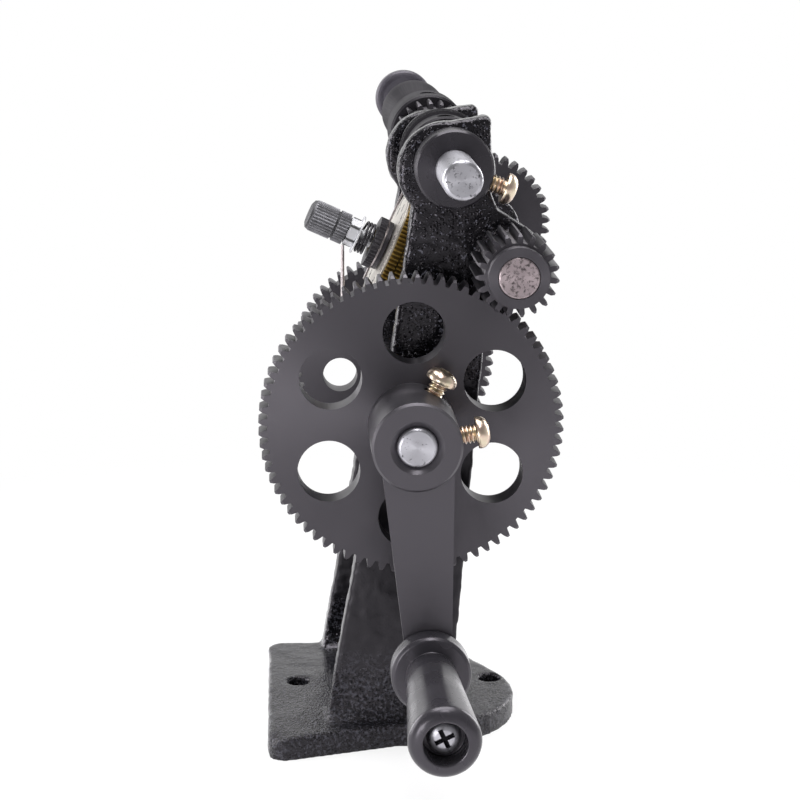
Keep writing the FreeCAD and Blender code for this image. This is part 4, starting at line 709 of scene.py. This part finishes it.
class WINDER_OT_screws(bpy.types.Operator):
    """Cross-recessed pan-head screws with their threads"""
    bl_idname = "winder.screws"
    bl_label = "Screws"

    def execute(self, context):
        plate = yellow_zinc()
        for node, joint in (("big_gear_screw", "crank_turn"), ("crank_screw", "crank_turn"),
                            ("slow_gear_screw", "slow_gear_turn"),
                            ("collar_screw", "spindle_turn")):
            self.make_screw(node, joint, plate, context.scene.winder_sizes)
        return {"FINISHED"}

    def make_screw(self, node, joint, plate, sizes):
        """Head, recess and thread, placed along the screw's own line out of its shaft."""
        axis = Vector(JOINTS[joint]["pos_m"])
        low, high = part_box(node)
        centre = (low + high) / 2
        foot = Vector((axis.x, centre.y, axis.z))
        away = (centre - foot).normalized()
        reach = [(vert.co - foot).dot(away) for vert in NODES[node].data.vertices]
        tip, top = min(reach), max(reach)
        under = top - sizes.head
        bm = self.recessed_head(node, (high.y - low.y) / 2, under, top)
        helix_thread(bm, sizes.shank / 2, sizes.depth, sizes.pitch, tip, under + sizes.pitch * 0.5)
        core = sizes.shank / 2 - sizes.depth
        bmesh.ops.create_cone(bm, cap_ends=True, segments=24, radius1=core - sizes.depth * 0.5,
                              radius2=core + sizes.depth * 0.1, depth=under - tip,
                              matrix=Matrix.Translation((0, 0, (under + tip) / 2)))
        turn = away.to_track_quat("Z", "Y").to_matrix().to_4x4()
        bm.transform(Matrix.Translation(foot) @ turn)
        piece = new_piece(node + "_threaded", bm)
        smooth_under(piece.data, 35)
        finish_piece(piece, plate, node)

    def recessed_head(self, node, wide, under, top):
        """A turned pan head on the Z axis with its cross cut out."""
        tall = top - under
        bm = bmesh.new()
        rim = [(wide * out, under + tall * up) for out, up in PAN_HEAD]
        lathe(bm, [(0, under)] + rim + [(0, top)])
        head = new_piece(node + "_head", bm)
        cutter_mesh = bmesh.new()
        for turn in (45, 135):
            bmesh.ops.create_cube(cutter_mesh, size=1, matrix=(
                Matrix.Rotation(math.radians(turn), 4, "Z")
                @ Matrix.Translation((0, 0, top))
                @ Matrix.Diagonal((wide * CROSS[0], wide * CROSS[1], tall * CROSS[2], 1))))
        cutter = new_piece(node + "_cutter", cutter_mesh)
        recess = head.modifiers.new("recess", "BOOLEAN")
        recess.operation = "DIFFERENCE"
        recess.solver = "EXACT"
        recess.use_self = True
        recess.object = cutter
        apply_modifiers(head)
        bm = bmesh.new()
        bm.from_mesh(head.data)
        bpy.data.objects.remove(cutter)
        bpy.data.objects.remove(head)
        return bm


# Dial lines: width and length of the tenth ones and of the others, and their thickness
TENTH_LINE = (0.30 * MM, 3.2 * MM)
SHORT_LINE = (0.18 * MM, 1.9 * MM)
INK = 0.04 * MM

# Bare rim outside the lines, and the space between lines and figures
RIM_GAP, FIGURE_GAP = 0.5 * MM, 0.7 * MM

# Height of a figure as a share of the type size
FIGURE_SHARE = 0.72


class WINDER_OT_counter(bpy.types.Operator):
    """Brass wheels, dial with figures, pointer, spring, nut, knob and stop wire"""
    bl_idname = "winder.counter"
    bl_label = "Counter"

    def execute(self, context):
        colours = context.scene.winder_colours
        brass = grooved_metal("cut_brass", tuple(colours.brass), rough=0.40, metallic=0.75,
                              depth=0.9 * MM, radius=self.reach("units_wheel"))
        for node in ("hundreds_wheel", "units_wheel"):
            machined(node, brass, 0)
        dark = black_oxide("black_oxide_small", rough=0.42, tone=0.6, index=1.5)
        for node in ("friction_ring", "setting_ring"):
            machined(node, dark, SMALL_EDGE)
        self.make_spring(dark, context.scene.winder_sizes)
        bright = plain_metal("bright_zinc", tuple(colours.plate), rough=0.40, metallic=0.6)
        for node in ("counter_stud", "counter_washer"):
            machined(node, bright, NUT_EDGE)
        nut = plain_metal("nut_zinc", tuple(colours.plate), rough=0.40, metallic=0.6,
                          dark_from=self.reach("counter_nut") - 0.28 * MM)
        machined("counter_nut", nut, NUT_EDGE)
        pointer = plain_metal("pointer_steel", tuple(colours.wire), rough=0.3, metallic=1.0)
        machined("pointer", pointer, THIN_EDGE)
        wire = plain_metal("wire_steel", tuple(colours.wire), rough=0.35, metallic=1.0)
        machined("stop_wire", wire, 0)
        knob = grooved_metal("anodised_knob", tuple(colours.knob), rough=0.36, metallic=0.7,
                             depth=0.35 * MM, radius=self.reach("counter_knob"))
        machined("counter_knob", knob, SMALL_EDGE)
        dial = plain_metal("dial_metal", tuple(colours.dial), rough=0.30, metallic=0.9)
        machined("dial_plate", dial, THIN_EDGE)
        self.make_marks(context.scene.winder_sizes, colours)
        return {"FINISHED"}

    def reach(self, node):
        """Outer radius of a node round the counter's axis."""
        return max(corner.xy.length for corner in seen_from_counter(node))

    def make_marks(self, sizes, colours):
        """Lines at the dial's rim, longer at every tenth, with figures inside them."""
        face = max(corner.z for corner in seen_from_counter("dial_plate"))
        rim = self.reach("dial_plate") - RIM_GAP
        bm = bmesh.new()
        for mark in range(sizes.marks):
            tenth = mark % 10 == 0
            wide, long = TENTH_LINE if tenth else SHORT_LINE
            round_dial = Matrix.Rotation(math.tau * mark / sizes.marks, 4, "Z")
            bmesh.ops.create_cube(bm, size=1, matrix=(
                round_dial @ Matrix.Translation((0, rim - long / 2, face))
                @ Matrix.Diagonal((wide, long, INK, 1))))
            if tenth:
                foot = rim - long - FIGURE_GAP - sizes.figure
                self.add_figure(bm, str(mark), sizes.figure,
                                round_dial @ Matrix.Translation((0, foot, face)))
        base, turn = counter_axis()
        bm.transform(Matrix.Translation(base) @ turn)
        piece = new_piece("dial_marks", bm)
        ink = plain_metal("dial_ink", tuple(colours.mark), rough=0.5, metallic=0.0)
        piece.data.materials.append(ink)
        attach(piece, NODES["dial_plate"]["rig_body"])

    def add_figure(self, bm, words, tall, place):
        """A number as a thin raised mesh, upright seen from outside the rim."""
        curve = bpy.data.curves.new("figure", "FONT")
        curve.body = words
        curve.size = tall / FIGURE_SHARE
        curve.align_x = "CENTER"
        curve.extrude = INK / 2
        curve.resolution_u = 3
        maker = bpy.data.objects.new("figure", curve)
        bpy.context.scene.collection.objects.link(maker)
        bpy.context.view_layer.update()
        mesh = bpy.data.meshes.new_from_object(
            maker.evaluated_get(bpy.context.evaluated_depsgraph_get()))
        mesh.transform(place)
        bm.from_mesh(mesh)
        bpy.data.objects.remove(maker)
        bpy.data.meshes.remove(mesh)

    def make_spring(self, material, sizes):
        """Close coils in the space of the spring, about the counter's own axis."""
        heights = [corner.z for corner in seen_from_counter("counter_spring")]
        low, high = min(heights), max(heights)
        radius = self.reach("counter_spring") - sizes.coil / 2
        least_climb = sizes.coil * 1.04
        turns = (high - low - sizes.coil) // least_climb
        climb = (high - low - sizes.coil) / turns
        steps = 32
        bm = bmesh.new()
        bmesh.ops.create_circle(bm, cap_ends=False, segments=10, radius=sizes.coil / 2,
                                matrix=Matrix.Translation((radius, 0, low + sizes.coil / 2))
                                @ Matrix.Rotation(math.pi / 2, 4, "X"))
        bmesh.ops.spin(bm, geom=bm.verts[:] + bm.edges[:], cent=(0, 0, 0), axis=(0, 0, 1),
                       dvec=(0, 0, climb / steps), angle=math.tau * turns,
                       steps=int(steps * turns))
        bmesh.ops.holes_fill(bm, edges=bm.edges, sides=0)
        bmesh.ops.recalc_face_normals(bm, faces=bm.faces)
        base, turn = counter_axis()
        bm.transform(Matrix.Translation(base) @ turn)
        piece = new_piece("counter_spring_coils", bm)
        smooth_under(piece.data, 60)
        finish_piece(piece, material, "counter_spring")


# Half the width of the floor
FLOOR_HALF = 12.0

# The floor's own glow: to the camera near the part and further out, with the distances over which
# it rises, and in reflections
GLOW_NEAR, GLOW_FAR = 0.80, 1.0
GLOW_RISE = (0.06, 0.30)
GLOW_MIRRORED = 0.42

# The surround in reflections: along Y it brightens from front to back between the first two
# values, and along Z it dims towards the top between the next two, to the last one
BACK_RISE = (-0.75, 0.35)
TOP_FALL = (0.35, 0.75)
TOP_SHARE = 0.45

# Half way up the part, where the lamps aim
LAMP_TARGET = Vector((0, 0, 0.09))

# Softboxes: name, place, width and height in metres, share of the lamp power. The two at the back
# give the long light bands along the sides of the turned pieces.
LAMPS = (("top_lamp", (0.0, 0.05, 0.80), (0.60, 0.60), 1.2),
         ("front_left_lamp", (-0.22, -0.44, 0.05), (0.16, 0.16), 0.135),
         ("rim_lamp", (0.05, -0.40, 0.75), (0.20, 0.20), 0.28),
         ("left_lamp", (-0.75, -0.02, 0.22), (0.30, 0.44), 0.30),
         ("back_left_lamp", (-0.70, 0.38, 0.22), (0.35, 0.70), 0.90),
         ("back_right_lamp", (0.62, 0.42, 0.22), (0.35, 0.70), 0.80))


class WINDER_OT_stage(bpy.types.Operator):
    """Floor, surround, lamps and camera"""
    bl_idname = "winder.stage"
    bl_label = "Stage"

    def execute(self, context):
        scene = context.scene
        stage = scene.winder_stage
        scene.view_settings.view_transform = "Standard"
        self.make_floor(scene.winder_colours)
        self.make_surround(scene, stage)
        for name, place, size, share in LAMPS:
            self.make_lamp(scene, name, Vector(place), size, stage.lamp * share)
        self.make_camera(scene, stage)
        return {"FINISHED"}

    def make_floor(self, colours):
        """Pale floor that keeps the soft shadow and turns white further out."""
        bm = bmesh.new()
        bmesh.ops.create_grid(bm, x_segments=1, y_segments=1, size=FLOOR_HALF)
        floor = new_piece("floor", bm)
        material = bpy.data.materials.new("pale_floor")
        material.use_nodes = True
        tree = material.node_tree
        tree.nodes.clear()
        rays = add_node(tree, "LightPath").node.outputs
        place = add_node(tree, "TexCoord", out="Object")
        away = add_node(tree, "VectorMath", (place,), "Value", operation="LENGTH")
        outside = add_node(tree, "MapRange", (away, *GLOW_RISE, GLOW_NEAR, GLOW_FAR),
                           interpolation_type="SMOOTHSTEP")
        direct = add_node(tree, "Math", (rays["Is Camera Ray"], rays["Is Transmission Ray"]),
                          operation="MAXIMUM")
        seen = add_node(tree, "Math", (direct, outside), operation="MULTIPLY")
        mirrored = add_node(tree, "Math", (rays["Is Glossy Ray"], GLOW_MIRRORED),
                            operation="MULTIPLY")
        share = add_node(tree, "Math", (seen, mirrored), operation="MAXIMUM")
        pale = add_node(tree, "BsdfDiffuse", {"Color": tuple(colours.floor)})
        glow = add_node(tree, "Emission", {"Color": (1, 1, 1, 1), "Strength": 1.0})
        mix = add_node(tree, "MixShader", (share, pale, glow))
        connect(tree, tree.nodes.new("ShaderNodeOutputMaterial"), {"Surface": mix})
        floor.data.materials.append(material)

    def make_surround(self, scene, stage):
        """White behind the part, softer light on it, and darker reflections from the front and
        from above, which give the black pieces their form."""
        world = bpy.data.worlds.new("white_surround")
        scene.world = world
        world.use_nodes = True
        tree = world.node_tree
        tree.nodes.clear()
        rays = add_node(tree, "LightPath").node.outputs
        ways = add_node(tree, "TexCoord", out="Generated")
        along = add_node(tree, "SeparateXYZ", (ways,)).node.outputs
        behind = add_node(tree, "MapRange", (along["Y"], *BACK_RISE, stage.front, 1.0))
        overhead = add_node(tree, "MapRange", (along["Z"], *TOP_FALL, 1.0, TOP_SHARE))
        mirrored = add_node(tree, "Math", (behind, overhead), operation="MULTIPLY")
        lit = add_node(tree, "Mix", {0: rays["Is Glossy Ray"], 2: stage.sky, 3: mirrored})
        direct = add_node(tree, "Math", (rays["Is Camera Ray"], rays["Is Transmission Ray"]),
                          operation="MAXIMUM")
        strength = add_node(tree, "Math", (lit, direct), operation="MAXIMUM")
        glow = add_node(tree, "Background", {"Color": (1, 1, 1, 1), "Strength": strength})
        connect(tree, tree.nodes.new("ShaderNodeOutputWorld"), {"Surface": glow})

    def make_lamp(self, scene, name, place, size, power):
        """A softbox that faces the middle of the part."""
        light = bpy.data.lights.new(name, "AREA")
        light.shape = "RECTANGLE"
        light.size, light.size_y = size
        light.energy = power
        lamp = bpy.data.objects.new(name, light)
        scene.collection.objects.link(lamp)
        lamp.location = place
        lamp.visible_camera = False
        lamp.rotation_euler = (LAMP_TARGET - place).to_track_quat("-Z", "Y").to_euler()

    def make_camera(self, scene, stage):
        """A long lens a little above level, as in the photograph."""
        data = bpy.data.cameras.new("camera")
        data.sensor_width = 36
        data.lens = stage.lens
        data.clip_start = 0.01
        data.clip_end = 50
        camera = bpy.data.objects.new("camera", data)
        scene.collection.objects.link(camera)
        camera.location = stage.camera
        camera.rotation_euler = (math.pi / 2 - stage.down, 0, -stage.right)
        scene.camera = camera


STEPS = (WINDER_OT_stage, WINDER_OT_casting, WINDER_OT_black_steel, WINDER_OT_shafts,
         WINDER_OT_screws, WINDER_OT_counter)


class WINDER_PT_panel(bpy.types.Panel):
    """Pieces and settings of the winder"""
    bl_idname = "WINDER_PT_panel"
    bl_label = "Hand Winding Machine"
    bl_space_type = "VIEW_3D"
    bl_region_type = "UI"
    bl_category = "Winder"

    def draw(self, context):
        for step in STEPS:
            self.layout.operator(step.bl_idname)
        for group in (context.scene.winder_colours, context.scene.winder_sizes,
                      context.scene.winder_stage):
            for name in group.bl_rna.properties.keys():
                if name not in ("rna_type", "name"):
                    self.layout.prop(group, name)


CLASSES = (WinderColours, WinderSizes, WinderStage) + STEPS + (WINDER_PT_panel,)


def register():
    for item in CLASSES:
        bpy.utils.register_class(item)
    bpy.types.Scene.winder_colours = PointerProperty(type=WinderColours)
    bpy.types.Scene.winder_sizes = PointerProperty(type=WinderSizes)
    bpy.types.Scene.winder_stage = PointerProperty(type=WinderStage)


def unregister():
    del bpy.types.Scene.winder_colours
    del bpy.types.Scene.winder_sizes
    del bpy.types.Scene.winder_stage
    for item in reversed(CLASSES):
        bpy.utils.unregister_class(item)


def main():
    """Make the pieces and the stage."""
    register()
    for step in STEPS:
        group, name = step.bl_idname.split(".")
        getattr(getattr(bpy.ops, group), name)()


if __name__ == "__main__":
    main()
